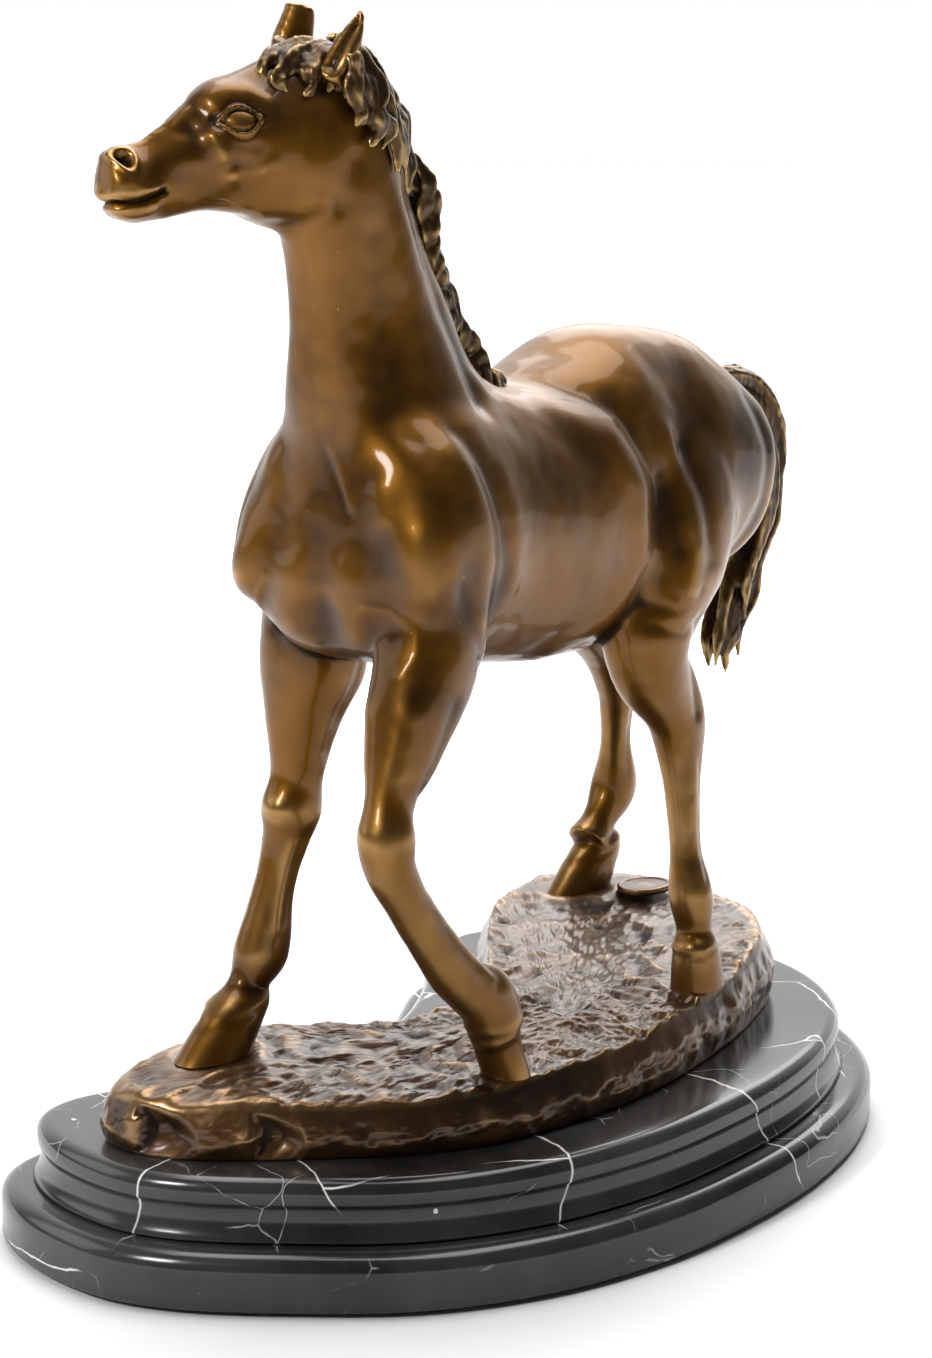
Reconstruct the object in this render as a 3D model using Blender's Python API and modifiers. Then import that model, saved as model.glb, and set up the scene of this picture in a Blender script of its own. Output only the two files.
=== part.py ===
"""Bronze horse walking on a modelled ground, on a two-tier kidney-shaped marble base.

World frame: +X the way the horse walks, +Y its left, +Z up, z = 0 the table, in metres.
Section lists are written in millimetres and scaled by MM. The origin is the middle of the underside.
"""

import math

import bmesh
import bpy
import numpy as np
from mathutils import Vector

MM = 0.001
GAP = 0.3  # mm between pieces that touch

# Driving dimensions, mm
FELT_THICKNESS = 1.2
FELT_INSET = 4.0
LOWER_SLAB_TOP = 20.0
UPPER_SLAB_TOP = 40.0
UPPER_SLAB_INSET = 12.5
SLAB_SIDES = 52
GROUND_SIDES = 48
GROUND_WALL = 4.0
BRONZE_WALL = 6.0
VOXEL = 2.6
CORE_VOXEL = 5.0
CORE_RATIO = 0.14
SKIN_RATIO = 0.085

# The horse stands a little askew of the base: its mid-plane is y = MID_Y + MID_SLOPE * x
MID_Y = 11.0
MID_SLOPE = 0.053
HEAD_YAW = math.radians(-22.0)
POLL = (98.0, 16.0, 378.0)

# Where each hoof stands: x, y, z of its sole, mm
HOOVES = {
    "left_fore": (66.0, 56.0, 59.4),
    "right_fore": (115.0, -25.0, 62.4),
    "left_hind": (-42.0, 57.0, 63.0),
    "right_hind": (-115.0, -43.0, 68.6),
}
# Each hoof from above its stud: reach ahead, reach behind, half-width, how far its top leans
# back, mm, and the share of its size left at the top
HOOF_SHAPE = {
    "left_fore": (7.0, 8.0, 8.4, -6.0, 1.15),
    "right_fore": (18.0, 13.0, 10.0, 10.0, 0.75),
    "left_hind": (8.0, 13.5, 9.0, -1.0, 0.85),
    "right_hind": (18.0, 12.0, 9.4, 8.0, 0.68),
}
STUD_RADIUS = 2.0
NUT_HEIGHT = 3.2
NUT_RADIUS = 4.0
BOLT_RADIUS = 2.5
BOLT_SPOTS = ((95.0, 5.0), (0.0, 38.0), (-100.0, 0.0))
WASHER_RADIUS = 6.0

# Outline of the lower slab: kidney, with its waist on the horse's right
SLAB_OUTLINE = (
    (181, -22), (175, 6), (157, 36), (128, 71), (90, 95), (45, 108), (0, 111), (-45, 108),
    (-90, 97), (-130, 77), (-160, 45), (-176, 5), (-176, -40), (-160, -78), (-128, -108),
    (-98, -113), (-68, -99), (-35, -77), (0, -60), (35, -55), (70, -64), (102, -84),
    (130, -93), (155, -86), (174, -58),
)
GROUND_OUTLINE = (
    (157, -26), (151, -6), (138, 12), (112, 40), (84, 60), (50, 70), (10, 73), (-35, 68),
    (-80, 57), (-116, 42), (-138, 18), (-147, -15), (-143, -46), (-122, -68), (-96, -68),
    (-68, -57), (-38, -36), (-8, -14), (20, -5), (46, -10), (72, -27), (100, -42), (130, -46),
    (151, -42),
)
GROUND_HEART = (10.0, 38.0)
MEDALLION_SPOT = (-121.0, -19.0)
MEDALLION_TILT = (math.radians(3.0), math.radians(2.0), 0.0)


def clear_scene():
    for obj in list(bpy.data.objects):
        bpy.data.objects.remove(obj, do_unlink=True)


def new_collection(name):
    group = bpy.data.collections.new(name)
    bpy.context.scene.collection.children.link(group)
    return group


def bronze(name, tone):
    return principled(name, tone, 0.34, 1.0)


def principled(name, tone, roughness, metallic):
    material = bpy.data.materials.new(name)
    material.use_nodes = True
    shader = material.node_tree.nodes["Principled BSDF"]
    shader.inputs["Base Color"].default_value = (*tone, 1.0)
    shader.inputs["Roughness"].default_value = roughness
    shader.inputs["Metallic"].default_value = metallic
    material.diffuse_color = (*tone, 1.0)
    return material


def place(name, mesh, group, material=None):
    obj = bpy.data.objects.new(name, mesh)
    group.objects.link(obj)
    if material:
        mesh.materials.clear()
        mesh.materials.append(material)
    return obj


def mesh_from(name, points, faces):
    """A mesh from points in millimetres, with its faces turned outward."""
    mesh = bpy.data.meshes.new(name)
    mesh.from_pydata([tuple(c * MM for c in p) for p in points], [], faces)
    shape = bmesh.new()
    shape.from_mesh(mesh)
    bmesh.ops.recalc_face_normals(shape, faces=shape.faces)
    shape.to_mesh(mesh)
    shape.free()
    return mesh


def evaluated_mesh(obj):
    """The object's mesh after its modifiers, as a mesh of its own."""
    bpy.context.view_layer.update()
    graph = bpy.context.evaluated_depsgraph_get()
    return bpy.data.meshes.new_from_object(obj.evaluated_get(graph))


def make_cutter(obj):
    obj.hide_render = True
    obj.display_type = "WIRE"
    return obj


def cut(obj, cutter, operation="DIFFERENCE"):
    modifier = obj.modifiers.new(cutter.name, "BOOLEAN")
    modifier.operation = operation
    modifier.object = cutter
    return modifier


# ---------------------------------------------------------------- outlines and slabs


def closed_curve(knots, count):
    """Points at equal steps along a smooth closed curve through the knots."""
    knots = np.array(knots, float)
    n = len(knots)
    before = np.roll(knots, 1, axis=0)
    after = np.roll(knots, -1, axis=0)
    slope = (after - before) / 2
    dense = []
    for i in range(n):
        a, b = knots[i], knots[(i + 1) % n]
        ta, tb = slope[i], slope[(i + 1) % n]
        for t in np.linspace(0, 1, 24, endpoint=False):
            h = (2 * t**3 - 3 * t**2 + 1, t**3 - 2 * t**2 + t, 3 * t**2 - 2 * t**3, t**3 - t**2)
            dense.append(h[0] * a + h[1] * ta + h[2] * b + h[3] * tb)
    dense = np.array(dense)
    loop = np.vstack([dense, dense[:1]])
    along = np.concatenate([[0], np.cumsum(np.linalg.norm(np.diff(loop, axis=0), axis=1))])
    wanted = np.linspace(0, along[-1], count, endpoint=False)
    return np.stack([np.interp(wanted, along, loop[:, k]) for k in (0, 1)], axis=1)


def outward(points):
    """Outward normals of a counter-clockwise outline."""
    tangent = np.roll(points, -1, axis=0) - np.roll(points, 1, axis=0)
    tangent /= np.linalg.norm(tangent, axis=1)[:, None]
    return np.stack([tangent[:, 1], -tangent[:, 0]], axis=1)


def moulded_slab(name, outline, profile, group, material):
    """A solid whose rim follows the profile: (offset from the outline, z), from the bottom up."""
    points, faces = [], []
    count = len(outline)
    side = outward(outline)
    for offset, z in profile:
        points += [(*xy, z) for xy in outline + side * offset]
    for ring in range(len(profile) - 1):
        for i in range(count):
            j = (i + 1) % count
            a, b = ring * count, (ring + 1) * count
            faces.append((a + i, a + j, b + j, b + i))
    faces.append(tuple(range(count))[::-1])
    faces.append(tuple(range((len(profile) - 1) * count, len(profile) * count)))
    return place(name, mesh_from(name, points, faces), group, material)


def quarter_round(offset, z, radius, steps=3):
    """Profile points of a rounded upper edge that ends at the given offset and height."""
    turns = [math.pi / 2 * k / steps for k in range(steps + 1)]
    return [
        (offset - radius + radius * math.cos(t), z - radius + radius * math.sin(t)) for t in turns
    ]


# ---------------------------------------------------------------- lofted forms


def in_body(x, side, z):
    """A place given along, to the left of, and above the horse's own mid-plane."""
    return (x, MID_Y + MID_SLOPE * x + side, z)


def in_head(ahead, side, z):
    """A place given from the poll along the turned head."""
    c, s = math.cos(HEAD_YAW), math.sin(HEAD_YAW)
    return (POLL[0] + ahead * c - side * s, POLL[1] + ahead * s + side * c, z)


def ring(centre, lateral, depth, width, rise, drop, pinch, count):
    """An egg-shaped section: rise and drop are its reach along depth, pinch thins the drop side."""
    points = []
    for k in range(count):
        turn = 2 * math.pi * k / count
        c, s = math.cos(turn), math.sin(turn)
        reach = rise if s > 0 else drop
        thin = 1 - pinch * max(0.0, -s) ** 1.5
        bulge = abs(c) ** 0.85 * (1 if c > 0 else -1)
        points.append(Vector(centre) + lateral * (bulge * width * thin) + depth * (s * reach))
    return points


def loft(name, sections, frame, group, axis=None, yaw=0.0, count=14):
    """A closed form through sections (x, side, z, width, rise, drop[, pinch]).

    The depth axis is lateral x path: up on a body drawn chest first, forward on a leg drawn
    foot first. A fixed axis keeps all the sections parallel.
    """
    centres = [Vector(frame(*s[:3])) for s in sections]
    lateral_axis = Vector((-math.sin(yaw), math.cos(yaw), 0.0))
    points, faces = [], []
    for i, section in enumerate(sections):
        path = centres[min(i + 1, len(centres) - 1)] - centres[max(i - 1, 0)]
        path = Vector(axis) if axis else path.normalized()
        lateral = (lateral_axis - path * lateral_axis.dot(path)).normalized()
        depth = lateral.cross(path).normalized()
        pinch = section[6] if len(section) > 6 else 0.0
        points += ring(centres[i], lateral, depth, *section[3:6], pinch, count)
    for i in range(len(sections) - 1):
        for k in range(count):
            n = (k + 1) % count
            a, b = i * count, (i + 1) * count
            faces.append((a + k, a + n, b + n, b + k))
    faces.append(tuple(range(count))[::-1])
    faces.append(tuple(range((len(sections) - 1) * count, len(sections) * count)))
    obj = place(name, mesh_from(name, points, faces), group)
    smooth = obj.modifiers.new("Subdivision", "SUBSURF")
    smooth.levels = smooth.render_levels = 1
    return obj


TORSO = (
    (110, 0, 229, 13, 16, 15), (105, 0, 232, 35, 40, 32), (92, 0, 232, 45, 50, 39),
    (70, 0, 233, 45, 52, 42), (46, 0, 234, 42, 48, 48), (18, 0, 232, 42.5, 46, 50),
    (-8, 0, 231, 43.5, 52, 51), (-32, 0, 233, 42, 60, 52), (-55, 0, 237, 38, 57, 49),
    (-77, 0, 239, 40, 50, 45), (-99, 0, 240, 38, 42, 42), (-117, 0, 240, 30, 29, 35),
    (-128, 0, 242, 13, 14, 16),
)
LEFT_SHOULDER = (
    (97, 34, 212, 8, 9, 11), (99, 34, 224, 11, 11, 18), (96, 34, 240, 11.5, 12, 22),
    (87, 31, 258, 10, 13, 22), (76, 24, 273, 8, 11, 18),
)
RIGHT_SHOULDER = tuple((x, -side, *rest) for x, side, *rest in LEFT_SHOULDER)
NECK = (
    (62, 0, 250, 35, 42, 40, 0.2), (66, 0, 266, 32, 45, 42, 0.4), (70, 0, 282, 25.5, 42, 38, 0.5),
    (76, 0, 301, 19.5, 35, 34, 0.45), (84, 0, 320, 17.5, 30, 29, 0.4), (93, 0, 340, 16.5, 28, 26, 0.4),
    (98, 0, 356, 15, 26, 23, 0.3), (99, 0, 370, 13, 18, 17, 0.2), (99, 0, 380, 9, 10, 10, 0.0),
)
HEAD = (
    (82, 0, 344, 4.5, 4, 5), (79.5, 0, 344, 8, 9, 9), (73, 0, 345, 9, 10.5, 11.5),
    (64, 0, 347, 8.8, 12.5, 12.5), (54, 0, 351, 10, 15, 15), (45, 0, 355, 14.5, 18, 20),
    (37, 0, 357, 17, 21, 23), (27, 0, 358, 16.5, 23, 27), (16, 0, 360, 15.5, 23.5, 29),
    (5, 0, 363, 14, 20, 26), (-4, 0, 366, 11, 14, 18),
)
LEFT_EAR = ((8, 11, 374, 5, 6, 5), (5, 12.5, 381, 4.8, 5.2, 4.6), (2, 13, 388, 3.4, 3.8, 3.2),
            (-1, 13, 394.5, 1.3, 1.4, 1.4))
RIGHT_EAR = ((11, -11, 378, 5, 6, 5), (9, -12, 385, 5, 5.6, 5.2), (7, -12, 391, 4.4, 4.6, 4.2),
             (6, -12, 397, 2.9, 2.9, 2.9))
FORE_LEFT = (
    (72, 42.5, 76, 9, 10, 9.5), (78, 42, 86, 8.6, 9.5, 11.5), (86.5, 40.5, 93.5, 7.8, 8.5, 9.5),
    (95.5, 39, 102, 7.4, 7.8, 8.6), (109.5, 36.5, 121, 6.6, 7, 7.6), (118, 34, 137, 8, 8.4, 8.4),
    (118.8, 33, 147, 9.2, 9.6, 8.8), (116, 32, 157, 7.8, 8.6, 8.4), (108.6, 31, 170, 10.4, 12, 12.6),
    (101, 30.5, 188, 14, 14, 18), (92, 30, 205, 15, 17, 20), (84, 29, 225, 15, 18, 18),
)
FORE_RIGHT = (
    (107, -43, 73, 9, 9.6, 10.6), (101, -42, 82, 6.2, 6, 6.8), (95.5, -40, 93, 8.2, 8.4, 11),
    (91, -37, 113, 6.6, 6.8, 7.2), (87, -35, 129, 7.4, 7.4, 7.8), (85, -34, 140, 9.6, 9.8, 10.4),
    (83, -33, 152, 8.6, 8.8, 9.2), (81.5, -31.5, 170, 12, 12, 13.2), (78.5, -30.5, 187, 15.4, 15, 18),
    (75, -30, 205, 15, 17, 19), (72, -29, 225, 15, 18, 18),
)
HIND_LEFT = (
    (-43, 47, 76, 8.6, 9, 10), (-43.5, 46.5, 84, 6.4, 6.4, 7), (-42.5, 45.5, 95, 7.4, 7, 9),
    (-43, 43, 113, 5.8, 6.2, 6.8), (-44.5, 40, 134, 6.4, 6.8, 8), (-45, 37, 152, 8, 9.2, 13),
    (-41, 36, 163, 8.6, 11.4, 14), (-33, 34, 178, 11.4, 14.4, 16.5), (-34, 32, 194, 15, 19, 20),
    (-43, 29, 215, 21, 27, 30), (-60, 22, 240, 21, 29, 34), (-72, 14, 262, 14, 18, 20),
)
HIND_RIGHT = (
    (-117, -48.5, 84, 9, 10.4, 10.4), (-125, -48, 93, 6.8, 7, 7.6), (-133, -47, 105, 8.2, 8.2, 10.4),
    (-130, -44, 122, 6.2, 6.4, 6.8), (-126, -41, 138, 6.4, 7.2, 8.4), (-121, -38, 150, 8, 9.8, 11.4),
    (-111, -36, 166, 10, 12.8, 13.4), (-96, -33, 182, 14, 18.4, 18.4), (-81, -30, 200, 19, 26, 26),
    (-74, -24, 226, 21, 29, 30), (-76, -14, 252, 14, 18, 20),
)
TAIL = (
    (-108, 0, 256, 7, 9, 8), (-126, 0, 261, 7.4, 8, 8), (-144, 1, 259, 9, 8, 9),
    (-157, 2, 251, 10, 7.5, 10), (-163, 2, 238, 11, 7, 10), (-163, 3, 224, 11.5, 7, 10),
    (-159, 3, 209, 11, 7, 9), (-151, 3, 195, 9.5, 6.5, 9), (-141, 2, 181, 8, 6, 8),
    (-133, 2, 167, 7, 5, 7), (-131, 2, 159, 5, 4, 5),
)


MANE = (
    (91, 2, 381, 8, 4, 6), (83, 3, 377, 11, 6, 9), (76, 3, 365, 12, 7, 10), (71, 2, 350, 9, 7, 9),
    (62, 0, 339, 5.4, 9, 9), (57, 0, 326, 4.6, 7, 9), (51, 0, 313, 5.2, 8, 9),
    (44, 0, 303, 4.6, 7, 9), (36, 0, 293, 5, 7, 9), (29, 1, 284, 5, 5, 7), (24, 2, 279, 3, 3, 4),
)


def hoof_sections(spot, shape):
    """Hoof rings in world places, from below the sole up: the wall slopes in to the coronet."""
    x, y, z = spot
    toe, heel, width, lean, top = shape
    return (
        (x + lean * 0.3, y, z - 6, width * 1.04, toe * 1.03, heel),
        (x, y, z, width, toe, heel),
        (x - lean * 0.55, y, z + 8, width * 0.93, toe * (0.6 + 0.4 * top), heel * 0.95),
        (x - lean, y, z + 15, width * 0.84, toe * top, heel * 0.9),
        (x - lean * 1.15, y, z + 18.5, width * 0.62, toe * top * 0.7, heel * 0.7),
    )


def in_world(x, y, z):
    return (x, y, z)


def sculpt_horse(group):
    """The whole horse as one skin, before it is cut into castings."""
    up, back = (0, 0, 1), (-1, 0, 0)
    forms = [
        loft("form_torso", TORSO, in_body, group, axis=back),
        loft("form_left_shoulder", LEFT_SHOULDER, in_body, group, axis=up),
        loft("form_right_shoulder", RIGHT_SHOULDER, in_body, group, axis=up),
        loft("form_neck", NECK, in_body, group, axis=up),
        loft("form_head", HEAD, in_head, group, yaw=HEAD_YAW),
        loft("form_left_ear", LEFT_EAR, in_head, group, yaw=HEAD_YAW),
        loft("form_right_ear", RIGHT_EAR, in_head, group, yaw=HEAD_YAW),
        loft("form_left_fore", FORE_LEFT, in_body, group),
        loft("form_right_fore", FORE_RIGHT, in_body, group),
        loft("form_left_hind", HIND_LEFT, in_body, group),
        loft("form_right_hind", HIND_RIGHT, in_body, group),
    ]
    for name, spot in HOOVES.items():
        sections = hoof_sections(spot, HOOF_SHAPE[name])
        forms.append(loft("form_hoof_" + name, sections, in_world, group, axis=up))
    return join_skin("horse_skin", forms, group, VOXEL, SKIN_RATIO)


def join_skin(name, forms, group, voxel, ratio):
    """Fuses overlapping closed forms into one closed skin and thins its triangles."""
    joined = bmesh.new()
    for form in forms:
        joined.from_mesh(evaluated_mesh(form))
    mesh = bpy.data.meshes.new(name)
    joined.to_mesh(mesh)
    joined.free()
    skin = place(name, mesh, group)
    fuse = skin.modifiers.new("Remesh", "REMESH")
    fuse.mode = "VOXEL"
    fuse.voxel_size = voxel * MM
    relax = skin.modifiers.new("Smooth", "SMOOTH")
    relax.factor = 0.5
    relax.iterations = 4
    thin = skin.modifiers.new("Decimate", "DECIMATE")
    thin.ratio = ratio
    for form in forms:
        make_cutter(form)
    return skin


# ---------------------------------------------------------------- castings


def block(name, low, high, group):
    """A cutter box between two corners, mm."""
    bpy.ops.mesh.primitive_cube_add(size=1)
    obj = bpy.context.object
    bpy.context.collection.objects.unlink(obj)
    group.objects.link(obj)
    obj.name = name
    obj.location = [(a + b) / 2 * MM for a, b in zip(low, high)]
    obj.scale = [(b - a) * MM for a, b in zip(low, high)]
    return make_cutter(obj)


def rod(name, spot, radius, bottom, top, group, sides=24):
    """An upright cylinder or prism at (x, y), mm."""
    bpy.ops.mesh.primitive_cylinder_add(
        vertices=sides, radius=radius * MM, depth=(top - bottom) * MM,
        location=(spot[0] * MM, spot[1] * MM, (top + bottom) / 2 * MM),
    )
    obj = bpy.context.object
    bpy.context.collection.objects.unlink(obj)
    group.objects.link(obj)
    obj.name = name
    return obj


# Each welded-on casting is what its box holds of the skin: low and high corner, mm.
# The box's open side, given as an axis and a sign, is the weld plane.
WELD_BOXES = {
    "left_fore_leg": ((42, 14, 59.4), (140, 80, 184), 2, 1),
    "right_fore_leg": ((42, -75, 62.4), (150, 13, 184), 2, 1),
    "left_hind_leg": ((-76, 11, 63.0), (-8, 85, 176), 2, 1),
    "right_hind_leg": ((-160, -85, 68.6), (-70, -13, 176), 2, 1),
    "neck_and_head_casting": ((22, -70, 288), (220, 100, 420), 2, -1),
}
LEG_HOOF = {
    "left_fore_leg": "left_fore",
    "right_fore_leg": "right_fore",
    "left_hind_leg": "left_hind",
    "right_hind_leg": "right_hind",
}


def thinned(sections, wall):
    """The same sections with the casting's wall taken off them."""
    return tuple(
        (*s[:3], s[3] - wall, s[4] - wall, s[5] - wall, *s[6:]) for s in sections
    )


def casting_core(cutters):
    """The hollow inside the torso and neck, open where the two are welded."""
    forms = [
        loft("core_torso", thinned(TORSO[2:-2], BRONZE_WALL + 2), in_body, cutters, axis=(-1, 0, 0)),
        loft("core_neck", thinned(NECK[:6], BRONZE_WALL + 1), in_body, cutters, axis=(0, 0, 1)),
    ]
    return make_cutter(join_skin("casting_core", forms, cutters, CORE_VOXEL, CORE_RATIO))


def build_horse(parts, cutters, skins):
    """The castings that the foundry would weld together, cut from one skin."""
    skin = sculpt_horse(cutters)
    skin_mesh = evaluated_mesh(skin)
    make_cutter(skin)
    core = casting_core(cutters)
    torso = place("torso_casting", skin_mesh.copy(), parts, skins["torso"])
    for name, (low, high, axis, sign) in WELD_BOXES.items():
        box = block("weld_" + name, low, high, cutters)
        low, high = list(low), list(high)
        if sign > 0:
            high[axis] -= GAP
        else:
            low[axis] += GAP
        own = block("keep_" + name, low, high, cutters)
        piece = place(name, skin_mesh.copy(), parts, skins["head" if "head" in name else "legs"])
        cut(piece, own, "INTERSECT")
        if name in LEG_HOOF:
            x, y, z = HOOVES[LEG_HOOF[name]]
            hole = rod("hole_" + name, (x, y), STUD_RADIUS + GAP, z - 3, z + 9, cutters)
            cut(piece, make_cutter(hole))
            # The torso loses everything below its weld, not only down to the sole
            box.location.z -= 8 * MM
            box.scale.z += 16 * MM
        else:
            cut(piece, core)
        cut(torso, box)
    cut(torso, core)
    swollen = place("skin_clearance", skin_mesh.copy(), cutters)
    swell = swollen.modifiers.new("Displace", "DISPLACE")
    swell.strength = (GAP + 0.1) * MM
    swell.mid_level = 0.0
    make_cutter(swollen)
    for name, sections, tone in (
        ("tail_casting", TAIL, "tail"),
        ("mane_casting", MANE, "hair"),
    ):
        hair = loft(name, sections, in_body, parts, count=8)
        hair.data.materials.append(skins[tone])
        cut(hair, swollen)


# ---------------------------------------------------------------- ground and base


def ground_height(x, y):
    """Top of the modelled ground, mm: it falls to the front left and swells under two hooves."""
    level = 62.0 - 0.035 * x - 0.03 * (y - 15.0)
    level += 2.8 * math.exp(-((x - 115) ** 2 + (y + 25) ** 2) / 40**2)
    return level + 0.7 * math.sin(x / 9.0) * math.cos(y / 7.0)


def build_ground(parts, cutters, material):
    outline = closed_curve(GROUND_OUTLINE, GROUND_SIDES)
    side = outward(outline)
    heart = np.array(GROUND_HEART)
    base = UPPER_SLAB_TOP + GAP
    points = [(*xy, base) for xy in outline]
    points += [(*xy, base + 9) for xy in outline + side * 1.5]
    for offset, sink in ((-0.5, 3.5), (-4.0, 0.6)):
        rim = outline + side * offset
        points += [(*xy, ground_height(*xy) - sink) for xy in rim]
    rings = 4
    for share in (0.78, 0.56, 0.32):
        inner = heart + (outline - heart) * share
        points += [(*xy, ground_height(*xy)) for xy in inner]
        rings += 1
    points.append((*heart, ground_height(*heart)))
    count = len(outline)
    faces = []
    for r in range(rings - 1):
        for i in range(count):
            j = (i + 1) % count
            faces.append((r * count + i, r * count + j, (r + 1) * count + j, (r + 1) * count + i))
    last = (rings - 1) * count
    faces += [(last + i, last + (i + 1) % count, len(points) - 1) for i in range(count)]
    ground = place("ground_casting", mesh_from("ground_casting", points, faces), parts, material)
    shell = ground.modifiers.new("Solidify", "SOLIDIFY")
    shell.thickness = GROUND_WALL * MM
    shell.offset = -1.0
    for k, spot in enumerate(BOLT_SPOTS):
        boss = rod(f"boss_{k}", spot, 6.5, base + 0.2, ground_height(*spot) - 1.5, cutters)
        cut(ground, make_cutter(boss), "UNION")
        tapped = rod(f"tapped_{k}", spot, BOLT_RADIUS + GAP, base - 2, base + 14, cutters)
        cut(ground, make_cutter(tapped))
    for name, (x, y, z) in HOOVES.items():
        seat = rod("seat_" + name, (x, y), 19, z - GAP, z + 24, cutters, sides=32)
        cut(ground, make_cutter(seat))
        hole = rod("stud_hole_" + name, (x, y), STUD_RADIUS + GAP, z - 12, z + 3, cutters)
        cut(ground, make_cutter(hole))
    return ground


def build_hoof_fixings(parts, cutters, material):
    for name, (x, y, z) in HOOVES.items():
        stud = rod(name + "_hoof_stud", (x, y), STUD_RADIUS, z - 12, z + 8.5, parts)
        stud.data.materials.append(material)
        top = z - GAP - GROUND_WALL - 1.4
        nut = rod(name + "_hoof_nut", (x, y), NUT_RADIUS, top - NUT_HEIGHT, top, parts, sides=6)
        nut.data.materials.append(material)
        bore = rod("bore_" + name, (x, y), STUD_RADIUS + GAP, top - 8, top + 4, cutters)
        cut(nut, make_cutter(bore))


def build_medallion(parts, material):
    """A plain raised-rim disc, turned about its own axis."""
    profile = ((0, 0.7), (8.4, 0.7), (9.0, 1.3), (10.1, 1.3), (10.5, 0.9), (10.5, -1.0), (0, -1.0))
    mesh = bpy.data.meshes.new("foundry_medallion")
    mesh.from_pydata(
        [(r * MM, 0, z * MM) for r, z in profile], [(i, i + 1) for i in range(len(profile) - 1)], []
    )
    disc = place("foundry_medallion", mesh, parts, material)
    turn = disc.modifiers.new("Screw", "SCREW")
    turn.axis = "Z"
    turn.steps = turn.render_steps = 40
    turn.use_merge_vertices = True
    turn.merge_threshold = 0.00001
    x, y = MEDALLION_SPOT
    disc.location = (x * MM, y * MM, (ground_height(x, y) + 2.6) * MM)
    disc.rotation_euler = MEDALLION_TILT
    return disc


def bolt_pattern_cutters(prefix, radius, bottom, top, cutters):
    return [
        make_cutter(rod(f"{prefix}_{k}", spot, radius, bottom, top, cutters))
        for k, spot in enumerate(BOLT_SPOTS)
    ]


def build_base(parts, cutters, marble, felt):
    outline = closed_curve(SLAB_OUTLINE, SLAB_SIDES)
    side = outward(outline)
    felt_top = FELT_THICKNESS
    moulded_slab(
        "felt_sheet", outline - side * FELT_INSET, ((0, 0), (0, felt_top)), parts, felt
    )
    underside = felt_top + GAP
    lower_profile = [(-0.6, underside), (0, underside + 0.6)]
    lower_profile += quarter_round(0, LOWER_SLAB_TOP - GAP, 6.0)
    lower = moulded_slab("marble_lower_slab", outline, lower_profile, parts, marble)
    upper_profile = [(2.0, LOWER_SLAB_TOP), (1.2, LOWER_SLAB_TOP + 1.5), (-0.4, 25.0), (-0.8, 31.0)]
    upper_profile += [(0.2, 32.0)] + quarter_round(0.4, UPPER_SLAB_TOP, 5.0)
    upper_line = outline - side * UPPER_SLAB_INSET
    upper = moulded_slab("marble_upper_slab", upper_line, upper_profile, parts, marble)
    for hole in bolt_pattern_cutters("bolt_hole", BOLT_RADIUS + 0.7, -5, 60, cutters):
        cut(lower, hole)
        cut(upper, hole)
    for recess in bolt_pattern_cutters("bolt_recess", 9.0, -5, underside + 6, cutters):
        cut(lower, recess)


def build_base_fixings(parts, cutters, material):
    underside = FELT_THICKNESS + GAP
    seat = underside + 6 - GAP
    for k, spot in enumerate(BOLT_SPOTS):
        washer = rod(f"base_washer_{k + 1}", spot, WASHER_RADIUS, seat - 1.0, seat, parts)
        washer.data.materials.append(material)
        bore = rod(f"washer_bore_{k}", spot, BOLT_RADIUS + GAP, -5, 20, cutters)
        cut(washer, make_cutter(bore))
        head_top = seat - 1.0 - GAP
        bolt = rod(f"base_bolt_{k + 1}", spot, 4.6, head_top - 3.4, head_top, parts, sides=6)
        bolt.data.materials.append(material)
        shank = rod(f"shank_{k}", spot, BOLT_RADIUS, head_top - 1, 53.0, cutters)
        cut(bolt, make_cutter(shank), "UNION")


def main():
    clear_scene()
    parts = new_collection("bronze_horse_statue")
    cutters = new_collection("cutters")
    skins = {
        "torso": bronze("torso_bronze", (0.19, 0.105, 0.04)),
        "head": bronze("head_bronze", (0.23, 0.13, 0.05)),
        "legs": bronze("leg_bronze", (0.22, 0.12, 0.045)),
        "tail": bronze("tail_bronze", (0.15, 0.085, 0.035)),
        "hair": bronze("mane_bronze", (0.26, 0.16, 0.07)),
    }
    steel = principled("zinc_steel", (0.55, 0.55, 0.56), 0.4, 1.0)
    marble = principled("black_marble", (0.02, 0.02, 0.024), 0.22, 0.0)
    felt = principled("black_felt", (0.02, 0.02, 0.02), 0.95, 0.0)
    build_horse(parts, cutters, skins)
    build_ground(parts, cutters, bronze("ground_bronze", (0.14, 0.08, 0.045)))
    build_medallion(parts, bronze("medallion_bronze", (0.12, 0.08, 0.05)))
    build_hoof_fixings(parts, cutters, steel)
    build_base(parts, cutters, marble, felt)
    build_base_fixings(parts, cutters, steel)
    for obj in parts.objects:
        if obj.name.endswith(("casting", "leg")):
            obj.data.shade_smooth()


main()
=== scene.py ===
import math

import bmesh
import bpy
import numpy as np
from mathutils import Matrix, Vector, noise


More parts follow.
